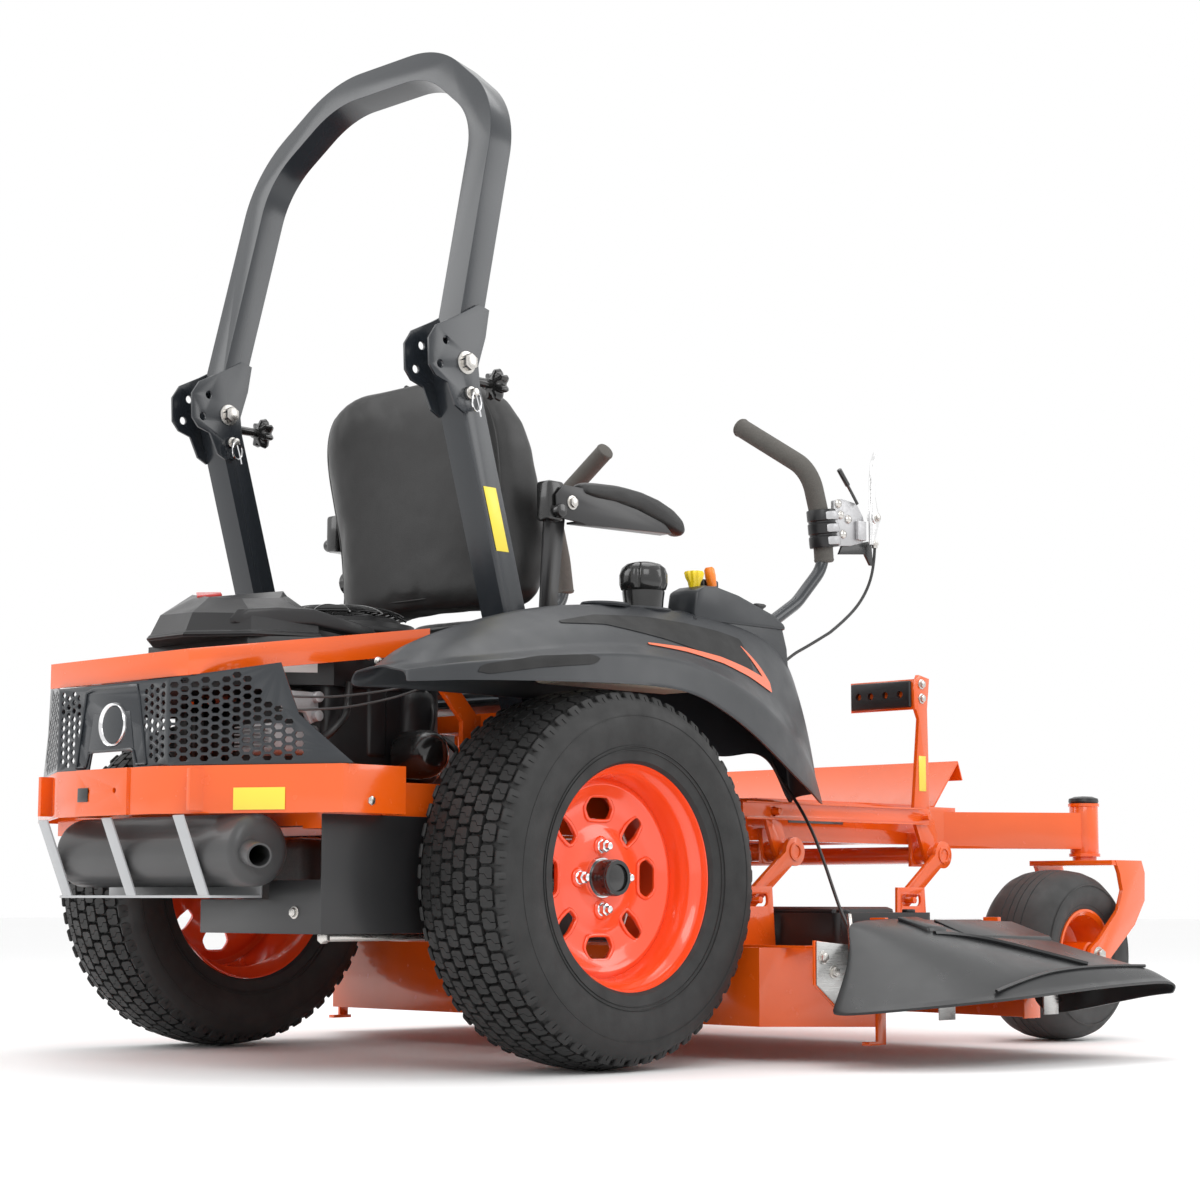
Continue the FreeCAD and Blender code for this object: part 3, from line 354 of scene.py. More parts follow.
def drum(start, end, radius, bevel=0.0, sides=32, top_radius=None):
    """A round bar or cone between two points."""
    start, end = Vector(start), Vector(end)
    run = end - start
    bpy.ops.mesh.primitive_cone_add(vertices=sides, radius1=radius * MM,
                                    radius2=(radius if top_radius is None else top_radius) * MM,
                                    depth=run.length, location=(start + end) / 2,
                                    rotation=run.to_track_quat("Z", "Y").to_euler())
    piece = settle(bpy.context.object)
    return bevelled(piece, bevel, 2) if bevel else smooth(piece)


def spun(profile, centre, axis=(0, 1, 0), steps=64, closed=True):
    """A ring turned about an axis; the profile is (radius, offset along the axis) in mm."""
    mesh = bpy.data.meshes.new("profile")
    axis = Vector(axis).normalized()
    side = Vector((1, 0, 0)) if abs(axis.x) < 0.9 else Vector((0, 0, 1))
    side = (side - axis * side.dot(axis)).normalized()
    points = [Vector(centre) + side * r * MM + axis * h * MM for r, h in profile]
    edges = [(i, i + 1) for i in range(len(points) - 1)]
    if closed:
        edges.append((len(points) - 1, 0))
    mesh.from_pydata(points, edges, [])
    piece = bpy.data.objects.new("turned", mesh)
    bpy.context.collection.objects.link(piece)
    alone(piece)
    bpy.ops.object.mode_set(mode="EDIT")
    bpy.ops.mesh.select_all(action="SELECT")
    bpy.ops.mesh.spin(steps=steps, angle=TURN, center=centre, axis=axis)
    bpy.ops.object.mode_set(mode="OBJECT")
    outward(piece)
    return smooth(piece)


def tube(points, radius, order=3, sides=12, smooth_path=True):
    """A round bar, hose or cable along points; the ends are closed."""
    curve = bpy.data.curves.new("run", "CURVE")
    curve.dimensions = "3D"
    curve.bevel_depth = radius * MM
    curve.bevel_resolution = max(1, sides // 4 - 1)
    curve.use_fill_caps = True
    line = curve.splines.new("NURBS" if smooth_path else "POLY")
    line.points.add(len(points) - 1)
    for spot, point in zip(line.points, points):
        spot.co = (*point, 1.0)
    if smooth_path:
        line.order_u = order
        line.use_endpoint_u = True
        line.resolution_u = 6
    piece = bpy.data.objects.new("run", curve)
    bpy.context.collection.objects.link(piece)
    alone(piece)
    bpy.ops.object.convert(target="MESH")
    piece = bpy.context.object
    return smooth(piece, 50)


def plate(points, thickness, normal_shift, bevel=0.0):
    """A flat plate from its outline, given its thickness along a vector."""
    mesh = bpy.data.meshes.new("plate")
    mesh.from_pydata([Vector(p) for p in points], [], [range(len(points))])
    piece = bpy.data.objects.new("plate", mesh)
    bpy.context.collection.objects.link(piece)
    alone(piece)
    bpy.ops.object.mode_set(mode="EDIT")
    bpy.ops.mesh.select_all(action="SELECT")
    bpy.ops.mesh.extrude_region_move(
        TRANSFORM_OT_translate={"value": Vector(normal_shift).normalized() * thickness * MM})
    bpy.ops.object.mode_set(mode="OBJECT")
    outward(piece)
    return bevelled(piece, bevel, 2) if bevel else piece


def cut(piece, cutters):
    """Takes the cutters out of a piece."""
    for tool in cutters:
        modifier = piece.modifiers.new("cut", "BOOLEAN")
        modifier.operation = "DIFFERENCE"
        modifier.solver = "EXACT"
        modifier.object = tool
        finish_modifiers(piece)
        bpy.data.objects.remove(tool)
    return piece


def ring_of(piece, count, centre, axis="Y"):
    """Copies a piece evenly round an axis through a centre."""
    pivot = bpy.data.objects.new("pivot", None)
    bpy.context.collection.objects.link(pivot)
    pivot.matrix_world = (Matrix.Translation(centre) @ Matrix.Rotation(TURN / count, 4, axis)
                          @ Matrix.Translation(-Vector(centre)))
    bpy.context.view_layer.update()
    array = piece.modifiers.new("round", "ARRAY")
    array.use_relative_offset = False
    array.use_object_offset = True
    array.offset_object = pivot
    array.count = count
    finish_modifiers(piece)
    bpy.data.objects.remove(pivot)
    return piece


def twin(piece, name, shift=None):
    """A second piece with its own mesh: moved by a shift, or mirrored over the centre plane."""
    copy = piece.copy()
    copy.data = piece.data.copy()
    copy.name = name
    bpy.context.collection.objects.link(copy)
    if shift is not None:
        copy.data.transform(Matrix.Translation(shift))
        return copy
    over = Matrix.Translation((0, AXLE.y, 0)) @ Matrix.Scale(-1, 4, (0, 1, 0))
    copy.data.transform(over @ Matrix.Translation((0, -AXLE.y, 0)))
    alone(copy)
    bpy.ops.object.mode_set(mode="EDIT")
    bpy.ops.mesh.select_all(action="SELECT")
    bpy.ops.mesh.flip_normals()
    bpy.ops.object.mode_set(mode="OBJECT")
    return copy


def placed(piece, name, material, body, stands_for=()):
    """Names a finished piece, gives it its finish and hangs it on its body."""
    piece.name = name
    piece.data.materials.clear()
    piece.data.materials.append(material)
    for face in piece.data.polygons:
        face.material_index = 0
    if stands_for:
        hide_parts(*stands_for)
    if body:
        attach(piece, body)
    return piece


BODY_OF = {node: body for body, names in frame["record"]["behaviour"]["bodies"].items()
           for node in names}


def refined(node, material, bevel, segments=2, angle=35, clamp=True):
    """The node's own shape with doubles merged, flats cleaned and edges rolled."""
    piece = bpy.data.objects.new(node, nodes[node].data.copy())
    bpy.context.collection.objects.link(piece)
    alone(piece)
    bpy.ops.object.mode_set(mode="EDIT")
    bpy.ops.mesh.select_all(action="SELECT")
    bpy.ops.mesh.remove_doubles(threshold=2e-5)
    bpy.ops.mesh.dissolve_limited(angle_limit=math.radians(1.0))
    bpy.ops.object.mode_set(mode="OBJECT")
    if bevel:
        bevelled(piece, bevel, segments, angle, clamp)
    else:
        smooth(piece, 20)
    return placed(piece, node + "_skin", material, BODY_OF[node], [node])


# ---------------------------------------------------------------- camera and studio
def studio():
    bpy.ops.object.camera_add(location=at(-2874.3, -3317.9, 268.3))
    camera = bpy.context.object
    camera.rotation_euler = (math.pi / 2 + 0.1212, -0.0012, 0.7734 - math.pi / 2)
    camera.data.lens = 74.33
    camera.data.sensor_width = 36
    bpy.context.scene.camera = camera
    bpy.ops.mesh.primitive_plane_add(size=60, location=(0, 0, -0.001))
    floor = bpy.context.object
    floor.name = "floor"
    ground = Finish("pale_floor", (0.95, 0.95, 0.95), 0.7)
    ground.set("Base Color", ground.mix(ground.noise(0.7, 3.0), ground.shade(0.99), ground.shade(1.01)))
    floor.data.materials.append(ground.material)
    world = bpy.data.worlds.new("studio")
    world.use_nodes = True
    world.node_tree.nodes["Background"].inputs["Color"].default_value = (1.0, 1.0, 1.0, 1.0)
    world.node_tree.nodes["Background"].inputs["Strength"].default_value = 1.0
    bpy.context.scene.world = world
    bpy.context.scene.view_settings.view_transform = "Standard"
    for place, size, power in (((-2.6, -3.6, 3.4), 2.6, 62), ((2.8, -3.2, 2.6), 2.2, 34),
                               ((-3.2, 2.6, 3.0), 2.4, 40), ((0.4, 0.2, 4.2), 3.0, 48)):
        bpy.ops.object.light_add(type="AREA", location=place)
        lamp = bpy.context.object
        lamp.data.size, lamp.data.energy = size, power
        lamp.rotation_euler = (Vector((0, 0, 0.6)) - Vector(place)).to_track_quat("-Z", "Y").to_euler()


# ---------------------------------------------------------------- drive wheels
TYRE_R, AXLE_Z = 305.0, 305.0
TREAD_PITCHES = 56


def tread_block(length, width, height):
    """One turf block on top of the tyre: two halves with notched corners and a stepped sipe between."""
    step, notch, gap = length * 0.13, 3.4, 0.65
    outline = [(-length / 2 + notch, -width / 2), (step - gap, -width / 2), (step - gap, -width * 0.12),
               (-step - gap, width * 0.12), (-step - gap, width / 2), (-length / 2 + notch, width / 2),
               (-length / 2, width / 2 - notch), (-length / 2, -width / 2 + notch)]
    halves = []
    for sign in (1, -1):
        points = [(sign * x * MM, sign * y * MM, -height * MM) for x, y in outline]
        points += [(sign * x * 0.965 * MM, sign * y * 0.95 * MM, 0) for x, y in outline]
        count = len(outline)
        faces = [(k, (k + 1) % count, count + (k + 1) % count, count + k) for k in range(count)]
        faces += [tuple(range(count, 2 * count)), tuple(reversed(range(count)))]
        halves.append(from_faces(points, faces))
    return joined("block", halves)


def crown(y):
    """Radius of the tread's top at a distance from the tyre's middle."""
    return TYRE_R - 0.4 - 10.0 * (abs(y) / 78.0) ** 2.4


def drive_tyre():
    centre = at(0, (LEFT_TYRE[0].y + LEFT_TYRE[1].y) / 2 / MM - AXLE.y / MM, AXLE_Z)
    carcass = [(181, -93), (186, -99), (196, -101), (206, -103), (226, -109), (246, -111), (262, -109),
               (277, -103), (286, -93), (290.5, -74), (293.5, -40), (294.5, 0)]
    carcass += [(r, -y) for r, y in carcass[-2::-1]]
    carcass += [(181, 88), (205, 94), (245, 100), (282, 80), (288, 0), (282, -80), (245, -100), (205, -94),
                (181, -88)]
    body = spun(carcass, centre, steps=112)
    ribs = [spun([(r - 1.1, y - 1.4), (r + 1.1, y - 1.4), (r + 0.7, y + 0.9), (r - 0.7, y + 0.9)],
                 centre, steps=112)
            for r, y in ((203, 103), (209, 104.8), (258, 109.4))]
    ribs += [spun([(r - 1.1, -y - 0.9), (r + 1.1, -y - 0.9), (r + 0.7, -y + 1.4), (r - 0.7, -y + 1.4)],
                  centre, steps=112)
             for r, y in ((203, 103), (209, 104.8), (258, 109.4))]
    pitch = TURN * TYRE_R / TREAD_PITCHES
    master = tread_block(pitch - 5.2, 23.5, 11.5)
    row = []
    columns = (-68, -40.8, -13.6, 13.6, 40.8, 68)
    for index, y in enumerate(columns):
        slope = math.atan2(crown(y - 1) - crown(y + 1), 2)
        turn = (index % 2) * TURN / TREAD_PITCHES / 2 + 0.1 * index * TURN / TREAD_PITCHES
        piece = master.copy()
        piece.data = master.data.copy()
        bpy.context.collection.objects.link(piece)
        piece.data.transform(Matrix.Translation(centre) @ Matrix.Rotation(turn, 4, "Y")
                             @ Matrix.Translation((0, y * MM, crown(y) * MM))
                             @ Matrix.Rotation(-slope, 4, "X"))
        row.append(piece)
    for side in (-1, 1):
        finger = block((-11.5 * MM, -19 * MM, -7 * MM), (11.5 * MM, 19 * MM, 0))
        bevelled(finger, 5.5, 2, 35)
        groove = block((-1 * MM, -12 * MM, -1.6 * MM), (1 * MM, 10 * MM, 1 * MM))
        cut(finger, [groove])
        turn = TURN / TREAD_PITCHES * (0.25 if side < 0 else 0.85)
        finger.data.transform(Matrix.Translation(centre) @ Matrix.Rotation(turn, 4, "Y")
                              @ Matrix.Translation((0, side * 98 * MM, 281 * MM))
                              @ Matrix.Rotation(-side * 1.02, 4, "X"))
        row.append(finger)
    bpy.data.objects.remove(master)
    tread = ring_of(joined("tread", row), TREAD_PITCHES, centre)
    smooth(tread, 30)
    return joined("drive_tyre_left", [body, tread] + ribs)


def rim_window(radius, angle, along, across, centre):
    """A six-sided punch for a wheel window."""
    outline = [(-along, 0), (-along * 0.62, across), (along * 0.62, across), (along, 0),
               (along * 0.72, -across), (-along * 0.72, -across)]
    mesh = bpy.data.meshes.new("punch")
    mesh.from_pydata([(x * MM, 0, (radius + z) * MM) for x, z in outline], [], [range(6)])
    piece = bpy.data.objects.new("punch", mesh)
    bpy.context.collection.objects.link(piece)
    alone(piece)
    bpy.ops.object.mode_set(mode="EDIT")
    bpy.ops.mesh.select_all(action="SELECT")
    bpy.ops.mesh.bevel(offset=5 * MM, segments=3, affect="VERTICES")
    bpy.ops.mesh.extrude_region_move(TRANSFORM_OT_translate={"value": (0, 80 * MM, 0)})
    bpy.ops.object.mode_set(mode="OBJECT")
    outward(piece)
    piece.data.transform(Matrix.Translation(centre) @ Matrix.Rotation(angle, 4, "Y"))
    return piece


def window_lip(radius, angle, along, across, centre, y):
    """The pressed lip round a wheel window."""
    outline = [(-along, 0), (-along * 0.62, across), (along * 0.62, across), (along, 0),
               (along * 0.72, -across), (-along * 0.72, -across)]
    curve = bpy.data.curves.new("lip", "CURVE")
    curve.dimensions = "3D"
    curve.bevel_depth, curve.bevel_resolution = 3.4 * MM, 2
    line = curve.splines.new("NURBS")
    dense = []
    for here, ahead in zip(outline, outline[1:] + outline[:1]):
        dense += [(here[0] * 0.94 + ahead[0] * 0.06, here[1] * 0.94 + ahead[1] * 0.06),
                  (here[0] * 0.3 + ahead[0] * 0.7, here[1] * 0.3 + ahead[1] * 0.7)]
    line.points.add(len(dense) - 1)
    for spot, (x, z) in zip(line.points, dense):
        spot.co = (x * MM, y * MM, (radius + z) * MM, 1)
    line.order_u, line.use_cyclic_u, line.resolution_u = 3, True, 4
    piece = bpy.data.objects.new("lip", curve)
    bpy.context.collection.objects.link(piece)
    alone(piece)
    bpy.ops.object.convert(target="MESH")
    piece = bpy.context.object
    piece.data.transform(Matrix.Translation(centre) @ Matrix.Rotation(angle, 4, "Y"))
    return smooth(piece, 60)


def drive_rim():
    centre = at(0, (LEFT_TYRE[0].y + LEFT_TYRE[1].y) / 2 / MM - AXLE.y / MM, AXLE_Z)
    barrel = [(196, 100), (199, 98.5), (199, 96), (195, 93), (188, 92), (184, 88), (182, 76), (178, 70),
              (172, 66), (169, 58), (166, 40), (164, 30), (160, -10), (164, -56), (178, -70), (183, -90),
              (193, -93), (198, -98), (196, -100), (190, -97), (180, -92), (174, -74), (160, -60),
              (155, -10), (160, 28), (162, 42), (165, 60), (169, 69), (175, 74), (179, 80), (180, 90),
              (184, 95), (190, 97)]
    rim = spun(barrel, centre, steps=96)
    face = [(30, 22), (52, 22), (70, 21), (80, 17), (92, 15), (118, 17), (134, 20), (142, 26), (150, 30),
            (157, 28), (164, 22), (165, 17), (158, 21), (150, 25), (143, 21), (135, 15), (118, 12),
            (92, 10),
            (80, 12), (70, 16), (52, 17), (30, 17)]
    disc = spun(face, centre, steps=96)
    punches, lips = [], []
    for k in range(8):
        along, across, radius = (31, 17, 112) if k % 2 == 0 else (13, 25, 108)
        punches.append(rim_window(radius, k * TURN / 8, along, across, centre))
        lips.append(window_lip(radius, k * TURN / 8, along + 3.5, across + 3.5, centre, 16.5))
    disc = cut(disc, [joined("punches", punches)])
    bevelled(disc, 1.6, 2, 40)
    pads = []
    for k in range(4):
        turn = Matrix.Translation(centre) @ Matrix.Rotation(k * TURN / 4, 4, "Y")
        pad = drum((0, 12 * MM, 0), (0, 26 * MM, 0), 20, 3.0, 28, 15)
        pad.data.transform(turn @ Matrix.Translation((0, 0, 50.7 * MM)))
        pads.append(pad)
    return joined("drive_rim_left", [rim, disc] + lips + pads), centre


def drive_hub(centre):
    parts = [drum(centre + Vector((0, 0.012, 0)), centre + Vector((0, 0.058, 0)), 29.5, 2.5, 40)]
    parts.append(spun([(24, 56), (28, 58), (28, 61), (22, 61)], centre, steps=40))
    parts.append(drum(centre - Vector((0, 0.115, 0)), centre + Vector((0, 0.012, 0)), 38, 2, 40))
    return joined("hub_cap_left", parts)


def wheel_studs(centre):
    parts = []
    for k in range(4):
        turn = Matrix.Translation(centre) @ Matrix.Rotation(k * TURN / 4, 4, "Y")
        nut = drum((0, 25 * MM, 0), (0, 36 * MM, 0), 10.5, 1.2, 6)
        stud = drum((0, 30 * MM, 0), (0, 44 * MM, 0), 6, 1.0, 16)
        seat = drum((0, 22 * MM, 0), (0, 27 * MM, 0), 13, 1.0, 24, 11)
        for piece in (nut, stud, seat):
            piece.data.transform(turn @ Matrix.Translation((0, 0, 50.7 * MM)))
            parts.append(piece)
    parts.append(spun([(29.8, 16), (34, 16), (34, 24), (32, 27), (29.8, 27)], centre, steps=48))
    return joined("wheel_nuts_left", parts)


def drive_wheels():
    tyre = drive_tyre()
    rim, centre = drive_rim()
    hub, studs = drive_hub(centre), wheel_studs(centre)
    for piece, material, stands_for, slot in (
            (tyre, TYRE, ["rear_tyre_"], "tyre_rubber"), (rim, WHEEL_RED, ["rear_rim_"], "wheel_paint"),
            (hub, GLOSS_BLACK, ["wheel_hub_"], "zinc"), (studs, CHROME, [], "zinc")):
        other = twin(piece, piece.name.replace("left", "right"))
        for side, part in (("left", piece), ("right", other)):
            placed(part, part.name, material, "rear_wheel_" + side, [n + side for n in stands_for])


# ---------------------------------------------------------------- plain structure
def structure():
    """The welded, pressed and cast pieces, each refined from its own node."""
    for node, material, bevel, segments in (
            ("main_frame", ORANGE, 3.5, 2), ("rear_bumper", ORANGE, 2.2, 3),
            ("upper_guard", ORANGE, 2.2, 3), ("guard_grille", DARK, 0.7, 1),
            ("muffler_cage", SILVER_PAINT, 0.9, 2), ("rear_skirt", BLACK_STEEL, 0.9, 2),
            ("foot_pan", ORANGE, 0, 0), ("rops_posts", DARK, 6.0, 4), ("rops_loop", DARK, 6.0, 4),
            ("deck_shell", ORANGE, 1.5, 2), ("lift_pedal", ORANGE, 1.6, 2),
            ("rear_lift_shaft", ORANGE, 1.6, 2), ("lift_link", ORANGE, 1.0, 2),
            ("caster_fork_left", ORANGE, 2.6, 3), ("caster_fork_right", ORANGE, 2.6, 3),
            ("control_arm_left", BLACK_STEEL, 1.5, 2), ("control_arm_right", BLACK_STEEL, 1.5, 2),
            ("seat_pan", BLACK_STEEL, 2.0, 2), ("engine_block", DRIVE_CASE, 2.0, 2),
            ("transaxles", DRIVE_CASE, 4.0, 3), ("muffler", MUFFLER_PAINT, 1.5, 2),
            ("belt_covers", BLACK_COVER, 5.0, 3), ("chute_blocker", STAINLESS, 0.6, 1),
            ("blade_left", STAINLESS, 1.0, 1), ("blade_center", STAINLESS, 1.0, 1),
            ("blade_right", STAINLESS, 1.0, 1), ("rops_lock_pins", ZINC, 0.8, 2),
            ("fuel_tank", TANK, 8.0, 3), ("engine_shroud", BLACK_COVER, 8.0, 3)):
        refined(node, material, bevel, segments)


# ---------------------------------------------------------------- more tools
def bent(points, radii):
    """Points along straight runs joined by tangent arcs."""
    points = [Vector(p) for p in points]
    path = [points[0]]
    for before, corner, after, radius in zip(points, points[1:], points[2:], radii):
        back, ahead = (before - corner).normalized(), (after - corner).normalized()
        half = back.angle(ahead) / 2
        centre = corner + (back + ahead).normalized() * (radius * MM / math.sin(half))
        reach = radius * MM / math.tan(half)
        first, last = corner + back * reach - centre, corner + ahead * reach - centre
        sweep = first.angle(last)
        count = max(3, int(sweep / math.radians(7)))
        for k in range(count + 1):
            part = k / count * sweep
            path.append(centre + (first * math.sin(sweep - part) + last * math.sin(part)) / math.sin(sweep))
    return path + [points[-1]]


def from_faces(points, faces, name="cage"):
    mesh = bpy.data.meshes.new(name)
    mesh.from_pydata([Vector(p) for p in points], [], faces)
    piece = bpy.data.objects.new(name, mesh)
    bpy.context.collection.objects.link(piece)
    return piece


def lofted(rings):
    """A closed form drawn through rings of points, all with the same count."""
    count = len(rings[0])
    faces = [(i * count + j, i * count + (j + 1) % count, (i + 1) * count + (j + 1) % count,
              (i + 1) * count + j) for i in range(len(rings) - 1) for j in range(count)]
    faces += [tuple(range(count)), tuple(range((len(rings) - 1) * count, len(rings) * count))]
    return smooth(outward(from_faces([p for ring in rings for p in ring], faces)), 50)


def oval(centre, half_a, half_b, axis_a, axis_b, power=2.0, count=32):
    """A ring of points, round at power 2 and squarer above it; half sizes in mm."""
    ring = []
    for k in range(count):
        c, s = math.cos(TURN * k / count), math.sin(TURN * k / count)
        a = math.copysign(abs(c) ** (2 / power), c) * half_a * MM
        b = math.copysign(abs(s) ** (2 / power), s) * half_b * MM
        ring.append(Vector(centre) + Vector(axis_a) * a + Vector(axis_b) * b)
    return ring


def sheet_metal(rows, thickness, creases=(), levels=2, rim=1.0):
    """A formed skin through rows of points, given its wall and rounded; creased columns stay crisp."""
    count = len(rows[0])
    faces = [(i * count + j, i * count + j + 1, (i + 1) * count + j + 1, (i + 1) * count + j)
             for i in range(len(rows) - 1) for j in range(count - 1)]
    piece = from_faces([p for row in rows for p in row], faces)
    alone(piece)
    bpy.ops.object.mode_set(mode="EDIT")
    bpy.ops.mesh.select_all(action="SELECT")
    bpy.ops.mesh.normals_make_consistent(inside=False)
    bpy.ops.object.mode_set(mode="OBJECT")
    crease = piece.data.attributes.new("crease_edge", "FLOAT", "EDGE")
    for index, edge in enumerate(piece.data.edges):
        a, b = edge.vertices
        if a % count == b % count and a % count in creases:
            crease.data[index].value = creases[a % count]
    wall = piece.modifiers.new("wall", "SOLIDIFY")
    wall.thickness, wall.offset = thickness * MM, 0.0
    wall.edge_crease_outer = wall.edge_crease_inner = rim
    soft = piece.modifiers.new("soft", "SUBSURF")
    soft.levels = soft.render_levels = levels
    finish_modifiers(piece)
    return smooth(outward(piece), 40)


def applied(target, line, side, lift=0.5, across=4):
    """A thin film on a side panel along a line of (x, z, half height) in mm."""
    dense = []
    for (x0, z0, h0), (x1, z1, h1) in zip(line, line[1:]):
        steps = max(2, int(abs(x1 - x0) / 8))
        dense += [(x0 + (x1 - x0) * k / steps, z0 + (z1 - z0) * k / steps, h0 + (h1 - h0) * k / steps)
                  for k in range(steps)]
    dense.append(line[-1])
    rows, last = [], None
    for x, z, half in dense:
        row = []
        for k in range(across + 1):
            start = at(x, side * 900, z + half * (2 * k / across - 1))
            hit, spot, normal, _ = target.ray_cast(start, Vector((0, -side, 0)))
            last = spot + normal * lift * MM if hit else Vector((start.x, last.y, start.z))
            row.append(last)
        rows.append(row)
    return sheet_metal(rows, 0.5, levels=1)


def inflated(piece, voxel=6.0, pressure=4.0, cap=8.0, folds=0.0, fold_size=0.09):
    """A sewn cover blown up over its foam by cloth simulation, its travel limited."""
    even = piece.modifiers.new("even", "REMESH")
    even.mode, even.voxel_size = "VOXEL", voxel * MM
    finish_modifiers(piece)
    start = [vertex.co.copy() for vertex in piece.data.vertices]
    cover = piece.modifiers.new("cover", "CLOTH")
    cover.settings.use_pressure = True
    cover.settings.uniform_pressure_force = pressure
    cover.settings.effector_weights.gravity = 0
    for moment in range(1, 21):
        bpy.context.scene.frame_set(moment)
    finish_modifiers(piece)
    for vertex, before in zip(piece.data.vertices, start):
        step = vertex.co - before
        if step.length > cap * MM:
            vertex.co = before + step.normalized() * cap * MM
    bpy.context.scene.frame_set(1)
    if folds:
        clouds = bpy.data.textures.new("folds", "CLOUDS")
        clouds.noise_scale = fold_size
        wave = piece.modifiers.new("folds", "DISPLACE")
        wave.texture, wave.strength, wave.mid_level = clouds, folds * MM, 0.5
        wave.texture_coords = "GLOBAL"
        finish_modifiers(piece)
    relax = piece.modifiers.new("relax", "SMOOTH")
    relax.factor, relax.iterations = 0.5, 4
    soft = piece.modifiers.new("soft", "SUBSURF")
    soft.levels = soft.render_levels = 1
    finish_modifiers(piece)
    return smooth(piece, 60)


def bolt(spot, axis, size=10.0, head=6.0, washer=True, name="bolt"):
    """A hexagon bolt head on its washer, standing along an axis."""
    axis = Vector(axis).normalized()
    parts = [drum(spot, spot + axis * (head + 1.5) * MM, size * 0.95, 0.9, 6)]
    if washer:
        parts.append(drum(spot - axis * 0.5 * MM, spot + axis * 1.8 * MM, size * 1.25, 0.5, 28))
    parts.append(drum(spot + axis * head * MM, spot + axis * (head + 2.2) * MM, size * 0.6, 0.5, 20))
    return joined(name, parts)


# ---------------------------------------------------------------- seat
def across_ring(x, z_low, z_high, half_y, dip=0.0, power=3.2, count=56):
    """A cushion's section in the plane square to X, with a hollow along its top."""
    ring = oval(at(x, 0, (z_low + z_high) / 2), half_y, (z_high - z_low) / 2, (0, 1, 0), (0, 0, 1), power,
                count)
    for point in ring:
        part = (point.y - AXLE.y) / (half_y * MM)
        if point.z > (z_low + z_high) / 2 * MM:
            point.z -= dip * MM * max(0.0, 1 - (abs(part) / 0.72) ** 2.5)
    return ring


def seat_cushion():
    rings = [across_ring(x, low, high, half, dip) for x, low, high, half, dip in (
        (70, 716, 742, 196, 0), (82, 706, 754, 222, 0), (120, 703, 757, 234, 0), (192, 703, 758, 236, 0),
        (214, 703, 784, 236, 6), (260, 703, 792, 236, 14), (340, 703, 794, 236, 16),
        (430, 703, 795, 236, 10),
        (480, 706, 790, 228, 4), (508, 716, 778, 210, 0), (520, 730, 764, 186, 0))]
    pad = inflated(lofted(rings), 7.0, 4.0, 5.0, 3.0)
    placed(pad, "seat_cushion_cover", VINYL, BODY_OF["seat_cushion"], ["seat_cushion"])
    welt = tube([at(x, y, 752) for x, y in ((80, -205), (150, -238), (300, -242), (440, -238), (500, -215),
                                            (524, -150), (528, 0), (524, 150), (500, 215), (440, 238),
                                            (300, 242), (150, 238), (80, 205))], 3.0, 3, 8)
    placed(welt, "seat_welt", VINYL, BODY_OF["seat_cushion"], ())


def seat_back():
    levels = ((778, 42, 148, 192), (788, 36, 166, 216), (806, 32, 180, 228), (850, 28, 200, 234),
              (880, 25, 203, 235), (930, 19, 194, 236), (1000, 11, 172, 242), (1060, 4, 147, 246),
              (1105, -1, 124, 240), (1140, -4, 102, 224), (1164, -5, 82, 198), (1180, -4, 62, 160),
              (1189, 0, 42, 108))
    rings = []
    for z, rear, front, half in levels:
        ring = oval(at((rear + front) / 2, 0, z), (front - rear) / 2, half, (1, 0, 0), (0, 1, 0), 3.4, 64)
        for point in ring:
            part = abs(point.y - AXLE.y) / (half * MM)
            if point.x > at((rear + front) / 2, 0, 0).x:
                point.x -= 26 * MM * max(0.0, 1 - (part / 0.66) ** 3)
        rings.append(ring)
    pad = inflated(lofted(rings), 7.0, 4.0, 5.0, 5.0)
    body = BODY_OF["seat_back"]
    seams = []
    for side in (-1, 1):
        line = []
        for z, rear, front, half in levels[1:]:
            start = at((rear + front) / 2, 0, z)
            hit, spot, _, _ = pad.ray_cast(start,
                                           Vector((-(front - rear) * 0.30, side * half * 0.93,
                                                   0)).normalized())
            line.append(spot if hit else start)
        seams.append(tube(line, 2.6, 3, 8))
    hem = [at(39, y, 800) for y in (-190, -120, 0, 120, 190)]
    line = []
    for point in hem:
        hit, spot, _, _ = pad.ray_cast(point - Vector((0.3, 0, 0)), Vector((1, 0, 0)))
        line.append(spot if hit else point)
    seams.append(tube(line, 1.6, 3, 8))
    placed(joined("seat_back_welts", seams), "seat_back_welts", VINYL, body, ())
    placed(pad, "seat_back_cover", VINYL, body, ["seat_back"])
    knob = spun([(3, 0), (19, 0), (23, 4), (23, 15), (19, 20), (3, 22)], at(112, 247, 862), (0, 1, 0), 20)
    placed(knob, "recline_knob", GLOSS_BLACK, body, ())


def seat_bellows():
    """Pleated skirt between the seat and its base."""
    rings = []
    for k in range(15):
        out = 10.0 if k % 2 else 2.0
        z = 612 + k * 5.8
        rings.append(oval(at(272, 0, z), 186 + out, 198 + out, (1, 0, 0), (0, 1, 0), 7.0, 64))
    skirt = lofted(rings)
    placed(skirt, "seat_bellows", BELLOWS, BODY_OF["seat_pan"], ())


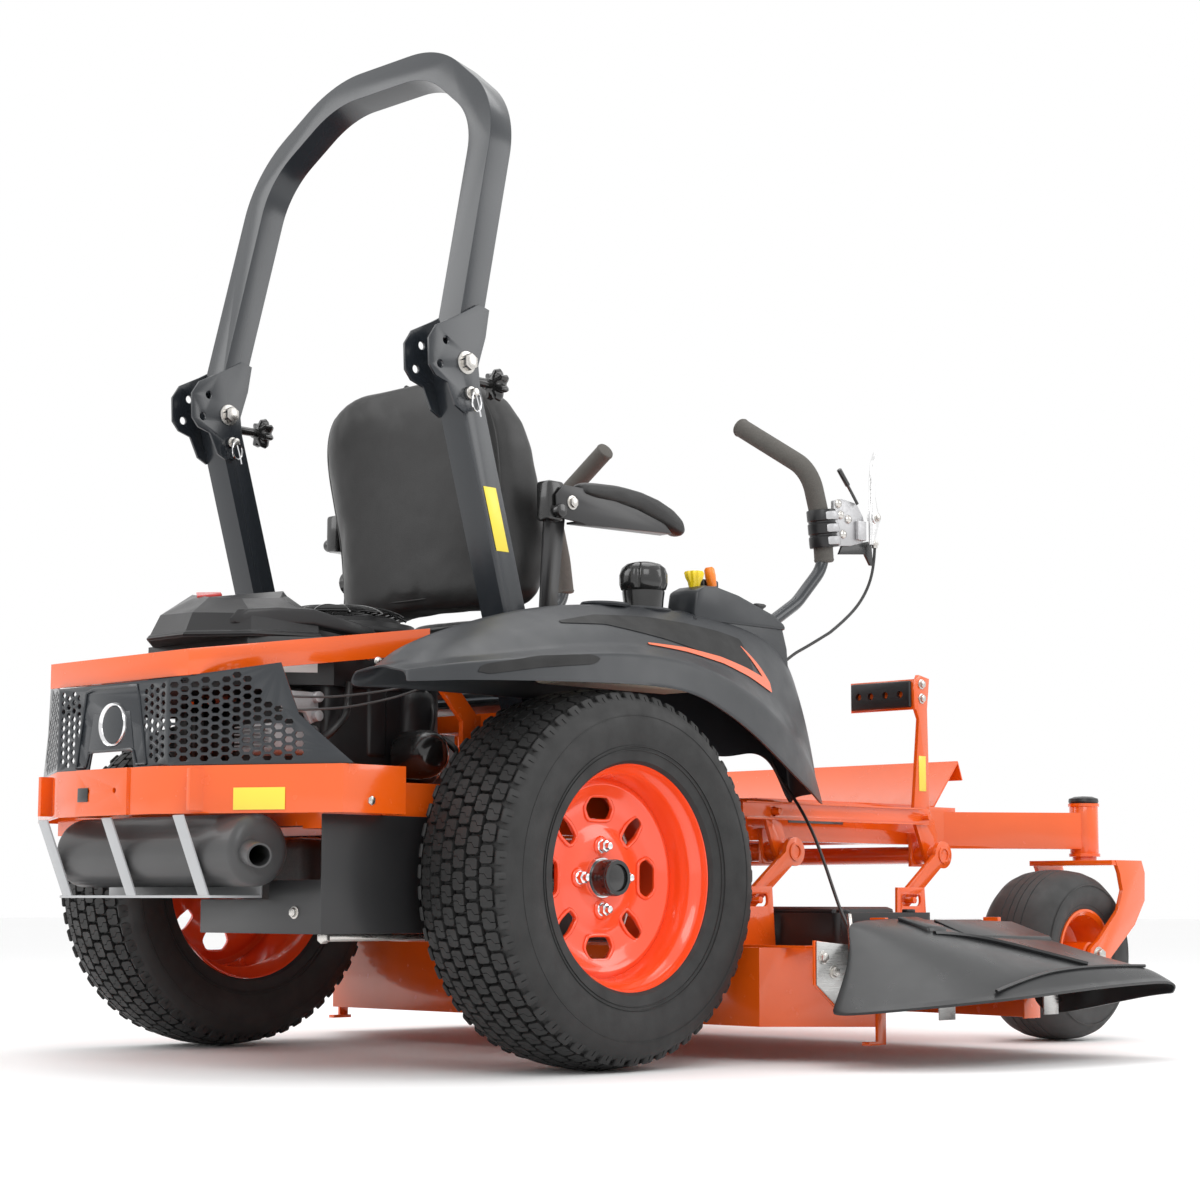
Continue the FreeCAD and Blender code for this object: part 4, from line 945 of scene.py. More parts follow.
def armrests():
    rings = [oval(at(x, 297, z), half_z, half_y, (0, 0, 1), (0, 1, 0), 2.5, 28) for x, z, half_z,
             half_y in (
        (160, 983, 6, 12), (168, 983, 12, 20), (196, 983, 14, 23), (250, 984, 15, 24), (310, 978, 17, 24),
        (355, 967, 20, 24), (392, 953, 21, 24), (416, 942, 17, 21), (427, 936, 8, 14))]
    pad = inflated(lofted(rings), 4.0, 4.0, 3.0)
    outline = [(100, 926), (98, 966), (116, 984), (168, 984), (205, 976), (300, 962), (372, 944),
               (392, 928),
               (300, 924), (180, 921)]
    rail = plate([at(x, 306, z) for x, z in outline], 5, (0, 1, 0), 1.2)
    flange = plate([at(x, 282, z) for x, z in ((150, 921), (390, 927), (390, 931), (150, 925))], 26,
                   (0, 1, 0), 0.8)
    steel = joined("armrest_rail_left", [rail, flange])
    pivot = bolt(at(135, 311, 955), (0, 1, 0), 10, 6, True, "armrest_bolt_left")
    hinge = joined("armrest_hinge_left", [block(at(88, 268, 922), at(126, 302, 992), 6, 2),
                                          drum(at(106, 300, 938), at(106, 318, 938), 12, 3, 24)])
    for piece, material, body, stands, slot in (
            (pad, VINYL, "armrest_", ["armrest_"], "vinyl"),
            (steel, BLACK_STEEL, "armrest_", [], "bare_steel"),
            (pivot, ZINC, "armrest_", [], "zinc"), (hinge, GLOSS_BLACK, "", [], "moulded_black")):
        if piece is pad:
            piece.name = "armrest_pad_left"
        other = twin(piece, piece.name.replace("left", "right"))
        for side, part in (("left", piece), ("right", other)):
            owner = body + side if body else BODY_OF["seat_pan"]
            placed(part, part.name, material, owner, [n + side for n in stands])


# ---------------------------------------------------------------- fenders, tank and console
FILLER_X, FILLER_Y = 205, -415
FENDER = (  # x, inner z, crest (y, z), valley (y, z), lip (y, z), edge (y, z), foot z
    (-414, 618, 420, 622, 470, 619, 503, 613, 508, 598, 596),
    (-372, 626, 421, 632, 488, 627, 517, 620, 523, 600, 598),
    (-338, 660, 423, 668, 502, 636, 528, 627, 535, 603, 600),
    (-220, 700, 428, 708, 521, 652, 552, 640, 562, 608, 600),
    (-100, 733, 434, 740, 534, 671, 566, 656, 577, 612, 600),
    (20, 753, 440, 757, 540, 683, 572, 665, 584, 616, 600),
    (140, 760, 445, 763, 539, 682, 572, 660, 584, 613, 600),
    (220, 763, 448, 764, 535, 673, 568, 646, 580, 588, 590),
    (300, 763, 450, 762, 529, 659, 561, 624, 572, 558, 560),
    (380, 760, 450, 755, 517, 640, 548, 596, 557, 522, 530),
    (460, 754, 449, 743, 500, 613, 527, 558, 535, 489, 520),
    (535, 744, 444, 724, 479, 580, 502, 522, 508, 465, 540),
    (588, 690, 438, 650, 461, 540, 477, 490, 482, 453, 520),
    (622, 540, 434, 530, 448, 490, 458, 464, 461, 447, 460),
    (638, 458, 431, 462, 440, 456, 450, 450, 453, 444, 446))


LEFT_TAIL = -330  # the left fender ends sooner at the back


def fenders():
    """Both fenders as formed skins, with the blank bands and stripes laid on them."""
    for side, sign in (("left", 1), ("right", -1)):
        rows = []
        for x, inner, yc, zc, yv, zv, yl, zl, ye, ze, foot in FENDER:
            line = [(378, foot), (378, inner - 12), (388, inner), (yc, zc), (yc * 0.45 + yv * 0.55 + 6,
                    zc * 0.5 + zv * 0.5 + 4), (yv, zv), (yl, zl), (ye, ze), (ye - 5, ze + 2)]
            reach = x if side == "right" or x > LEFT_TAIL else LEFT_TAIL + (x - LEFT_TAIL) * 0.25
            rows.append([at(reach, sign * y, z) for y, z in line])
        skin = sheet_metal(rows, 3.6, {2: 0.5, 3: 0.72, 5: 0.85, 6: 0.8, 7: 0.8}, 3, 0.8)
        if side == "right":
            well = drum(at(FILLER_X, FILLER_Y, 740), at(FILLER_X, FILLER_Y, 800), 37, 0, 40)
            cut(skin, [well])
            smooth(skin, 40)
        placed(skin, "fender_skin_" + side, GREY_COVER, BODY_OF["fender_" + side], ["fender_" + side])
        for name, line, material, lift in (
                ("upper_band_",
                 ((-70, 716, 2), (20, 727, 9), (140, 722, 20), (240, 712, 27), (330, 702, 30),
                                 (388, 694, 29)), BAND_BLACK, 0.9),
                ("stripe_", ((88, 689, 1.6), (184, 686, 4), (285, 676, 6), (363, 661, 8), (440, 641, 11)),
                 ORANGE, 1.3),
                ("tick_", ((376, 709, 1.5), (395, 690, 6), (416, 668, 10), (440, 641, 9)), ORANGE, 1.2),
                ("name_bar_", ((-298, 617, 1), (-292, 621, 5), (-280, 622, 8), (-180, 639, 9),
                               (-80, 649, 8),
                               (-68, 650, 5), (-62, 651, 1)), BAND_BLACK, 1.1)):
            film = applied(skin, line, sign, lift)
            placed(film, name + side, material, BODY_OF["fender_" + side], ())


def filler_details():
    """The moulded rims round the filler and the cup recess, and the tank's neck."""
    body = BODY_OF["fender_right"]
    rims = [tube([at(FILLER_X + 52 * math.cos(a), FILLER_Y + 40 * math.sin(a), 765 + 2 * math.sin(a))
                  for a in [TURN * k / 24 for k in range(25)]], 4.0, 3, 10),
            tube([at(108 + 44 * math.cos(a), -418 + 34 * math.sin(a), 764)
                  for a in [TURN * k / 24 for k in range(25)]], 4.0, 3, 10),
            tube([at(262, -388, 763), at(284, -412, 768), at(292, -440, 763), at(286, -462, 752)], 4.5, 3,
                 10)]
    placed(joined("filler_rims", rims), "filler_rims", GREY_COVER, body, ())
    # painted shade: a flat dark disc laid on the fender top stands in for the shaded hollow of the cup
    # recess
    floor = lofted([oval(at(108, -418, z), 42 * s, 32 * s, (1, 0, 0), (0, 1, 0), 2.0, 36)
                    for z, s in ((762.6, 1.0), (764.6, 0.98), (765.0, 0.6))])
    placed(floor, "cup_recess_shade", BLACK_COVER, body, ())
    profile = [(4, 752), (34.2, 752), (34.2, 768), (35, 780), (36, 788), (37, 796), (34, 799), (4, 799)]
    neck = spun(profile, at(FILLER_X, FILLER_Y, 0), (0, 0, 1), 40)
    placed(neck, "filler_neck", GLOSS_BLACK, BODY_OF["fuel_tank"], ())


def fuel_cap():
    """The domed cap, with five notches for the fingers."""
    rings = []
    for z, radius, notch in ((797, 33, 0.0), (800, 39, 2.0), (809, 42, 6.0), (826, 42, 6.0),
                             (836, 38.5, 5.0),
                             (843, 30, 3.0), (846.5, 18, 0.6), (847.5, 6, 0.0)):
        ring = []
        for k in range(96):
            a = TURN * k / 96
            r = radius - notch * max(0.0, math.cos(5 * a + 0.6)) ** 6
            ring.append(at(FILLER_X + r * math.cos(a), FILLER_Y + r * math.sin(a), z))
        rings.append(ring)
    placed(lofted(rings), "fuel_cap_grip", GLOSS_BLACK, "fuel_cap", ["fuel_cap"])


def console_body():
    """The faceted console and its skirt, which runs down inside the fender."""
    for name, outline, stands_for in (
            ("console_top", ((292, 764), (300, 805), (322, 815), (352, 816), (410, 806), (505, 779),
                             (536, 763),
                             (540, 752), (296, 752)), ["control_console"]),
            ("console_skirt", ((299, 762), (533, 758), (546, 720), (552, 660), (430, 672), (306, 720)),
             ())):
        inset = 0 if stands_for else 3
        piece = plate([at(x, -455 + inset, z) for x, z in outline], 69 - 2 * inset, (0, 1, 0), 6.0)
        placed(smooth(piece, 40), name, GREY_COVER, BODY_OF["control_console"], stands_for)


def console_controls():
    knob = lofted([[at(330 + (r + w * math.cos(10 * a)) * math.cos(a),
                       -420 + (r + w * math.cos(10 * a)) * math.sin(a), z)
                    for a in [TURN * k / 80 for k in range(80)]]
                   for z, r, w in ((811, 9, 0), (816, 10, 0), (824, 11.5, 0.3), (831, 14.5, 1.4),
                                   (840, 16.5, 1.8),
                                   (843, 15, 1.2), (844, 8, 0))])
    stem = drum(at(330, -420, 795), at(330, -420, 824), 6, 1, 20)
    placed(joined("pull_knob", [knob, stem]), "pull_knob", YELLOW, "pto_knob", ["pto_knob"])
    lean = Vector((-0.26, 0, 1)).normalized()
    base = at(381, -420, 806)
    rings = [oval(base + lean * h * MM, a, b, (1, 0, 0.22), (0, 1, 0), 2.4, 28)
             for h, a, b in ((0, 4, 4), (14, 4, 4), (15, 7, 8), (34, 8.5, 9.5), (46, 8, 9), (50, 5, 6))]
    placed(lofted(rings), "throttle_grip", LEVER_ORANGE, "throttle_lever", ["throttle_lever"])
    housing = joined("gauge_box", [block(at(366, -410, 804), at(408, -388, 835), 5, 3)])
    placed(housing, "gauge_box", BLACK_COVER, BODY_OF["control_console"], ())
    key = [spun([(2, 0), (13, 0), (14, 3), (9, 6), (6, 12), (2, 13)], at(505, -420, 778), (0, 0, 1), 28),
           lofted([oval(at(505, -420, z), a, b, (1, 0, 0), (0, 1, 0), 3.0, 28)
                   for z, a, b in ((788, 5, 4), (792, 8, 5), (796, 15, 6), (799, 16, 6), (801, 12, 4))])]
    placed(joined("key_grip", key), "key_grip", BLACK_COVER, "key_switch", ["key_switch"])


# ---------------------------------------------------------------- chute and deck fittings
CHUTE = (  # rows from the back to the front, each from the hinge out to the flange
    ((402, -700, 222), (384, -716, 196), (350, -738, 160), (304, -756, 118), (276, -766, 92),
     (270, -772, 84)),
    ((420, -690, 233), (428, -728, 223), (404, -800, 182), (362, -862, 130), (338, -886, 104),
     (330, -896, 98)),
    ((520, -690, 237), (520, -750, 221), (514, -840, 186), (486, -922, 138), (464, -958, 116),
     (456, -972, 110)),
    ((610, -690, 235), (612, -750, 217), (612, -860, 180), (598, -940, 148), (590, -966, 124),
     (586, -982, 118)),
    ((700, -690, 233), (700, -750, 213), (702, -870, 178), (702, -950, 156), (702, -976, 130),
     (702, -990, 125)),
    ((800, -690, 230), (804, -750, 209), (810, -870, 174), (816, -950, 156), (820, -978, 134),
     (822, -991, 129)),
    ((888, -690, 226), (894, -750, 205), (902, -870, 172), (912, -955, 154), (920, -982, 136),
     (924, -992, 131)),
    ((924, -692, 212), (928, -750, 190), (934, -870, 158), (938, -960, 140), (940, -986, 128),
     (940, -993, 122)),
    ((927, -700, 150), (930, -750, 130), (934, -860, 122), (936, -950, 120), (937, -980, 117),
     (937, -990, 114)),
    ((927, -704, 80), (929, -752, 66), (932, -850, 86), (934, -940, 104), (935, -976, 109),
     (936, -988, 110)))


def chute():
    skin = sheet_metal([[at(*p) for p in row] for row in CHUTE], 5.0, {1: 0.25, 3: 0.35, 4: 0.6}, 3, 0.7)
    parts = [skin]
    raised = plate([at(632, -702, 238), at(866, -702, 233), at(880, -778, 206), at(632, -782, 210)], 9,
                   (0, -0.3, -1), 3.0)
    latch = plate([at(530, -700, 243), at(588, -700, 243), at(596, -758, 226), at(538, -762, 226)], 16,
                  (0, -0.3, -1), 5.0)
    rib = tube([at(545, -770, 214), at(620, -782, 212), at(700, -860, 186), at(742, -944, 162)], 5.0, 3, 10)
    step = tube([at(470, -948, 124), at(590, -944, 149), at(704, -950, 158), at(820, -950, 159),
                 at(906, -952, 157)], 3.2, 3, 10)
    parts += [raised, latch, rib, step]
    for x in (560, 710):
        parts.append(drum(at(x, -668, 222), at(x + 110, -668, 222), 14, 1.5, 28))
        parts.append(plate([at(x, -676, 233), at(x + 110, -676, 233), at(x + 110, -712, 231),
                            at(x, -712, 231)],
                           7, (0, 0, -1), 1.5))
    placed(joined("chute_moulding", parts), "chute_moulding", CHUTE_BLACK, "discharge_chute",
           ["discharge_chute"])
    deck = BODY_OF["deck_shell"]
    gusset = plate([at(x, -706, z) for x,
                    z in ((307, 203), (390, 196), (393, 142), (393, 110), (369, 89), (307, 132))],
                   3, (0, -1, 0), 0.8)
    placed(gusset, "deck_side_bracket", STAINLESS, deck, ())
    heads = [bolt(at(x, -709, z), (0, -1, 0), 9, 6) for x, z in ((322, 176), (350, 152))]
    heads += [bolt(at(x, -688, 214), (0, -1, 0), 6, 4) for x in (525, 855)]
    placed(joined("deck_bracket_bolts", heads), "deck_bracket_bolts", ZINC, deck, ())
    ferrule = joined("cable_ferrule", [drum(at(432, -680, 222), at(426, -688, 196), 5.5, 1, 20),
                                       drum(at(438, -672, 246), at(432, -680, 222), 4.2, 0.8, 20)])
    placed(ferrule, "cable_ferrule", ZINC, deck, ())


def belt_cover_ribs():
    parts = []
    for sign in (-1, 1):
        parts.append(lofted([oval(at(655, sign * 400, z), a, b, (1, 0, 0), (0, 1, 0), 5.0, 48)
                             for z, a, b in ((244, 100, 150), (254, 98, 148), (258, 90, 140))]))
        for x in (560, 750):
            parts.append(drum(at(x, sign * 560, 246), at(x, sign * 560, 254), 12, 2, 24))
        parts.append(tube([at(534, sign * y, 250) for y in (230, 400, 560)], 4, 3, 8))
    placed(joined("belt_cover_ribs", parts), "belt_cover_ribs", BLACK_COVER, BODY_OF["belt_covers"], ())


# ---------------------------------------------------------------- front casters
def casters():
    centre = at(1269, 522.6, 165)
    half = [(80.5, -63), (80.5, -66), (88, -68.5), (98, -73), (112, -80), (128, -81.5), (143, -76),
            (154, -63),
            (160.5, -46), (163.4, -27), (161.9, -26), (161.9, -24.5), (163.9, -23.5), (164.9, -9),
            (163.2, -8.2),
            (163.2, -6.6), (164.9, -5.8), (165, 0)]
    outer = half + [(r, -y) for r, y in half[-2::-1]]
    tyre = spun(outer + [(105, 60), (150, 40), (155, 0), (150, -40), (105, -60)], centre, steps=96)
    rings = [spun([(r, y), (r + 1.5, y + s * 1.3), (r + 3, y), (r + 1.5, y - s)], centre, steps=96)
             for r, y, s in ((96, 72.5, 1), (133, 81, 1), (96, -72.5, -1), (133, -81, -1))]
    tyre = joined("caster_tread_left", [tyre] + rings)
    barrel = [(88.5, -72), (89, -69), (81, -66), (79, -52), (72, -40), (70, 0), (72, 40), (79, 52),
              (81, 66),
              (89, 69), (88.5, 72), (84, 72.5), (77, 68), (74, 54), (68, 42), (66, 10), (60, 7), (44, 6),
              (27, 8),
              (27, -8), (44, -6), (60, -7), (66, -10), (68, -42), (74, -54), (77, -68), (84, -72.5)]
    rim = spun(barrel, centre, steps=72)
    punches = []
    for k in range(5):
        spot = centre + Vector((math.cos(TURN * k / 5), 0, math.sin(TURN * k / 5))) * 46 * MM
        punches.append(drum(spot - Vector((0, 0.03, 0)), spot + Vector((0, 0.03, 0)), 9, 0, 24))
    rim = cut(rim, [joined("punches", punches)])
    hub = spun([(9, -84), (22, -84), (25, -81), (25, -12), (29, -9), (29, 9), (25, 12), (25, 81),
                (22, 84), (9, 84)],
               centre, steps=40)
    rim = joined("caster_wheel_rim_left", [smooth(rim), hub])
    axle = [drum(centre - Vector((0, 0.106, 0)), centre + Vector((0, 0.106, 0)), 8, 1, 20)]
    axle += [bolt(centre + Vector((0, side * 0.0995, 0)), (0, side, 0), 13, 9) for side in (-1, 1)]
    axle = joined("caster_axle_bolt_left", axle)
    for piece, material, body, stands, slot in (
            (tyre, CASTER_RUBBER, "caster_wheel_", ["caster_tyre_"], "tyre_rubber"),
            (rim, ORANGE, "caster_wheel_", ["caster_rim_"], "wheel_paint"),
            (axle, ZINC, "caster_wheel_", [], "zinc")):
        other = twin(piece, piece.name.replace("left", "right"))
        for side, part in (("left", piece), ("right", other)):
            placed(part, part.name, material, body + side, [n + side for n in stands])
    caps, collars = [], []
    for sign in (-1, 1):
        caps.append(spun([(2, 468), (23, 468), (26, 465), (28, 463), (30, 467), (29, 473), (18, 477),
                          (2, 478)],
                         at(1380, sign * 523, 0), (0, 0, 1), 40))
        collars.append(spun([(28.5, 357), (31, 357), (31, 363), (28.5, 364)], at(1380, sign * 523, 0),
                            (0, 0, 1), 40))
        collars.append(spun([(28.5, 456), (31, 457), (31, 463), (28.5, 463)], at(1380, sign * 523, 0),
                            (0, 0, 1), 40))
    placed(joined("barrel_caps", caps), "barrel_caps", BLACK_COVER, "chassis", ())
    placed(joined("barrel_collars", collars), "barrel_collars", ORANGE, "chassis", ())


# ---------------------------------------------------------------- steering levers
def steering_levers():
    bar = bent([at(445, 345, 745), at(560, 345, 745), at(700, 345, 826), at(778, 350, 905),
                at(768, 352, 980),
                at(736, 350, 1083), at(728, 190, 1184)], [120, 90, 70, 120, 70])
    metal = tube(bar, 12, sides=20, smooth_path=False)
    sleeve_line = bent([at(777, 350, 912), at(768, 352, 980), at(736, 350, 1083), at(727, 184, 1187)],
                       [120, 70])
    sleeve = tube(sleeve_line, 18.6, sides=28, smooth_path=False)
    ends = []
    for end, near in ((sleeve_line[0], sleeve_line[1]), (sleeve_line[-1], sleeve_line[-2])):
        out = (end - near).normalized()
        ends.append(drum(end - out * 8 * MM, end + out * 3 * MM, 19.2, 5, 32))
    sleeve = joined("lever_grip_left", [sleeve] + ends)
    metal.name = "lever_tube_left"
    for piece, material, stands, slot in ((metal, DARK, ["steering_lever_"], "dark_paint"),
                                          (sleeve, FOAM, [], "grip_foam")):
        other = twin(piece, piece.name.replace("left", "right"))
        for side, part in (("left", piece), ("right", other)):
            placed(part, part.name, material, "steering_lever_" + side, [n + side for n in stands])


def lever_clamp():
    """The clamp, plate and catch lever that carry the squeeze lever on the right handle."""
    body = "steering_lever_right"
    low, high = at(775.5, -352, 938), at(766.5, -351.5, 1010)
    run = (high - low).normalized()
    bands = [(19.4, 0), (27, 0), (28, 2), (28, 20), (26, 22), (26, 25), (28, 27), (28, 45), (26, 47),
             (26, 50),
             (28, 52), (28, 70), (27, 72), (19.4, 72)]
    shell = spun(bands, low, run, 40)
    placed(shell, "clamp_shell", BLACK_COVER, body, ["hand_lever_bracket"])
    faces = []
    for h in (4, 28, 52):
        first, last = low + run * h * MM, low + run * (h + 16) * MM
        faces.append(drum(first + Vector((4, -5, 0)) * MM, last + Vector((4, -5, 0)) * MM, 26.6, 2, 32))
    outline = ((782, 940), (832, 945), (870, 955), (880, 980), (872, 1006), (852, 1030), (806, 1034),
               (782, 1028))
    faces.append(plate([at(x, -371, z) for x, z in outline], 8, (0, 1, 0), 1.6))
    faces.append(block(at(846, -379, 958), at(872, -371, 996), 2, 2))
    placed(joined("clamp_plate", faces), "clamp_plate", ALLOY, body, ())
    heads = []
    for x, z in ((794, 1023), (801, 1002), (824, 996), (808, 965)):
        heads.append(spun([(0.5, 0), (8, 0), (8.5, 2), (6.5, 5), (3, 6.6), (0.5, 7)], at(x, -371, z),
                          (0, -1, 0), 24))
    placed(joined("clamp_rivets", heads), "clamp_rivets", ZINC, body, ())
    catch = joined("catch_lever",
                   [tube([at(848, -376, 1028), at(826, -377, 1052), at(792, -378, 1086)], 3.2, 3, 10),
                                   drum(at(818, -377, 1060), at(790, -378, 1088), 5.4, 1.6, 8)])
    placed(catch, "catch_lever", GLOSS_BLACK, body, ())
    lower = plate([at(x, -368, z) for x,
                   z in ((800, 926), (880, 934), (896, 914), (906, 914), (900, 962), (810, 944))],
                  5, (0, 1, 0), 1.0)
    placed(lower, "clamp_bracket", BLACK_STEEL, body, ())


def squeeze_lever():
    rings = []
    for x, z, a, b in ((884, 952, 6, 4), (888, 968, 9, 5), (892, 990, 13, 6), (893, 1008, 15, 6.5),
                       (891, 1026, 11, 6),
                       (889, 1048, 6, 5), (888, 1080, 4.5, 6), (892, 1112, 4, 6), (899, 1132, 3.6, 5),
                       (902, 1138, 2, 3)):
        rings.append(oval(at(x, -380, z), a, b, (1, 0, 0), (0, 1, 0), 2.4, 24))
    blade = lofted(rings)
    boss = drum(at(893, -388, 1005), at(893, -372.5, 1005), 13, 1.6, 32)
    placed(joined("squeeze_lever", [blade, boss]), "squeeze_lever", POLISHED, "hand_lever",
           ["hand_lever"])
    pin = bolt(at(893, -388, 1005), (0, -1, 0), 7, 4)
    barrel = joined("cable_adjuster", [drum(at(895, -380, 946), at(895, -380, 962), 5.5, 1, 20),
                                       drum(at(895, -380, 952), at(895, -380, 957), 8.5, 1, 6)])
    placed(joined("squeeze_lever_fittings", [pin, barrel]), "squeeze_lever_fittings", ZINC, "hand_lever",
           ())


# ---------------------------------------------------------------- cables held by the machine
HAND_CABLE = ((895, -380, 946), (893, -379, 905), (866, -378, 852), (815, -377, 805), (760, -376, 772),
              (700, -372, 742), (655, -368, 722), (610, -366, 690))
DECK_CABLE = ((609, -366, 686.8), (596, -367, 642), (588, -367.5, 595), (584, -371, 545), (586, -394, 494),
              (592, -430, 448), (582, -474, 396), (548, -530, 336), (500, -590, 284), (452, -648, 240),
              (426, -686, 214))


def cables():
    """The lever's cable is moulded in three stretches, one across each joint that it passes."""
    upper, middle_run = HAND_CABLE[:5], HAND_CABLE[4:]
    first = tube([at(*p) for p in upper], 3.0, 3, 12)
    placed(first, "hand_cable_grip_end", CABLE, None, ["hand_cable_upper"])
    second = tube([at(*p) for p in middle_run], 3.0, 3, 12)
    placed(second, "hand_cable_frame_end", CABLE, None, ())
    third = tube([at(*p) for p in DECK_CABLE], 3.0, 3, 12)
    placed(third, "hand_cable_deck_end", CABLE, None, ["hand_cable_lower"])
    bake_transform(third)
    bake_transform(second)
    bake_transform(first)


# ---------------------------------------------------------------- engine
FAN_X, FAN_Y = -150, -25
HOOD_BASE = ((-505, -70), (-505, 30), (-420, 130), (-300, 250),
             (-215, 250), (-290, -110), (-330, -200), (-440, -160))


def fan_guard():
    """The domed wire guard and the vaned wheel under it."""
    centre = at(FAN_X, FAN_Y, 0)
    parts = []
    for k in range(11):
        radius = 18 + k * 9.4
        height = 738 + 33 * math.sqrt(max(0.0, 1 - (radius / 126) ** 2))
        bpy.ops.mesh.primitive_torus_add(location=centre + Vector((0, 0, height * MM)),
                                         major_radius=radius * MM,
                                         minor_radius=1.7 * MM, major_segments=48, minor_segments=6)
        parts.append(settle(bpy.context.object))
    spoke = tube([at(FAN_X + r, FAN_Y, 738 + 34.5 * math.sqrt(1 - (r / 126) ** 2)) for r in (14, 40, 66, 90,
                                                                                          106, 116, 120)],
                 2.1, 3, 8)
    parts.append(ring_of(spoke, 12, centre, "Z"))
    parts.append(spun([(2, 771), (14, 771), (20, 768), (20, 764), (2, 764)], centre, (0, 0, 1), 32))
    placed(joined("fan_guard", parts), "fan_guard", GLOSS_BLACK, BODY_OF["air_cleaner_cover"], ())
    wheel = [spun([(2, 748), (40, 748), (46, 742), (100, 740), (104, 744), (108, 744), (108, 738),
                   (100, 734),
                   (30, 728), (2, 728)], centre, (0, 0, 1), 64)]
    vane = plate([at(FAN_X + 46, FAN_Y, 742), at(FAN_X + 100, FAN_Y + 8, 742),
                  at(FAN_X + 100, FAN_Y + 8, 750),
                  at(FAN_X + 46, FAN_Y, 752)], 2, (0, 1, 0), 0.4)
    wheel.append(ring_of(vane, 18, centre, "Z"))
    wheel.append(drum(at(FAN_X, FAN_Y, 708), at(FAN_X, FAN_Y, 730), 12, 1, 24))
    placed(joined("fan_wheel", wheel), "fan_wheel", BLACK_COVER, "engine_shaft", ["engine_fan_screen"])


def air_cleaner():
    """The faceted hood: steep sides to a shoulder line, then sloping faces to a short ridge."""
    shoulder = ((-486, -64, 731), (-486, 24, 733), (-408, 116, 742), (-300, 232, 738), (-226, 232, 730),
                (-280, -98, 730), (-322, -182, 726), (-430, -146, 728))
    ridge = ((-428, -30, 764), (-424, 22, 766), (-378, 84, 782), (-326, 150, 776), (-288, 140, 768),
             (-282, -40, 786), (-330, -92, 766), (-398, -78, 760))
    rings = [[at(x, y, 689) for x, y in HOOD_BASE], [at(x, y, 697) for x, y in HOOD_BASE],
             [at(x * 0.985 - 4, y * 0.97, 700) for x, y in HOOD_BASE],
             [at(*p) for p in shoulder], [at(*p) for p in ridge]]
    hood = lofted(rings)
    cut(hood, [drum(at(FAN_X, FAN_Y, 680), at(FAN_X, FAN_Y, 820), 134, 0, 64)])
    bevelled(hood, 3.5, 3, 12)
    placed(smooth(hood, 40), "air_cleaner_hood", BLACK_COVER, BODY_OF["air_cleaner_cover"],
           ["air_cleaner_cover"])


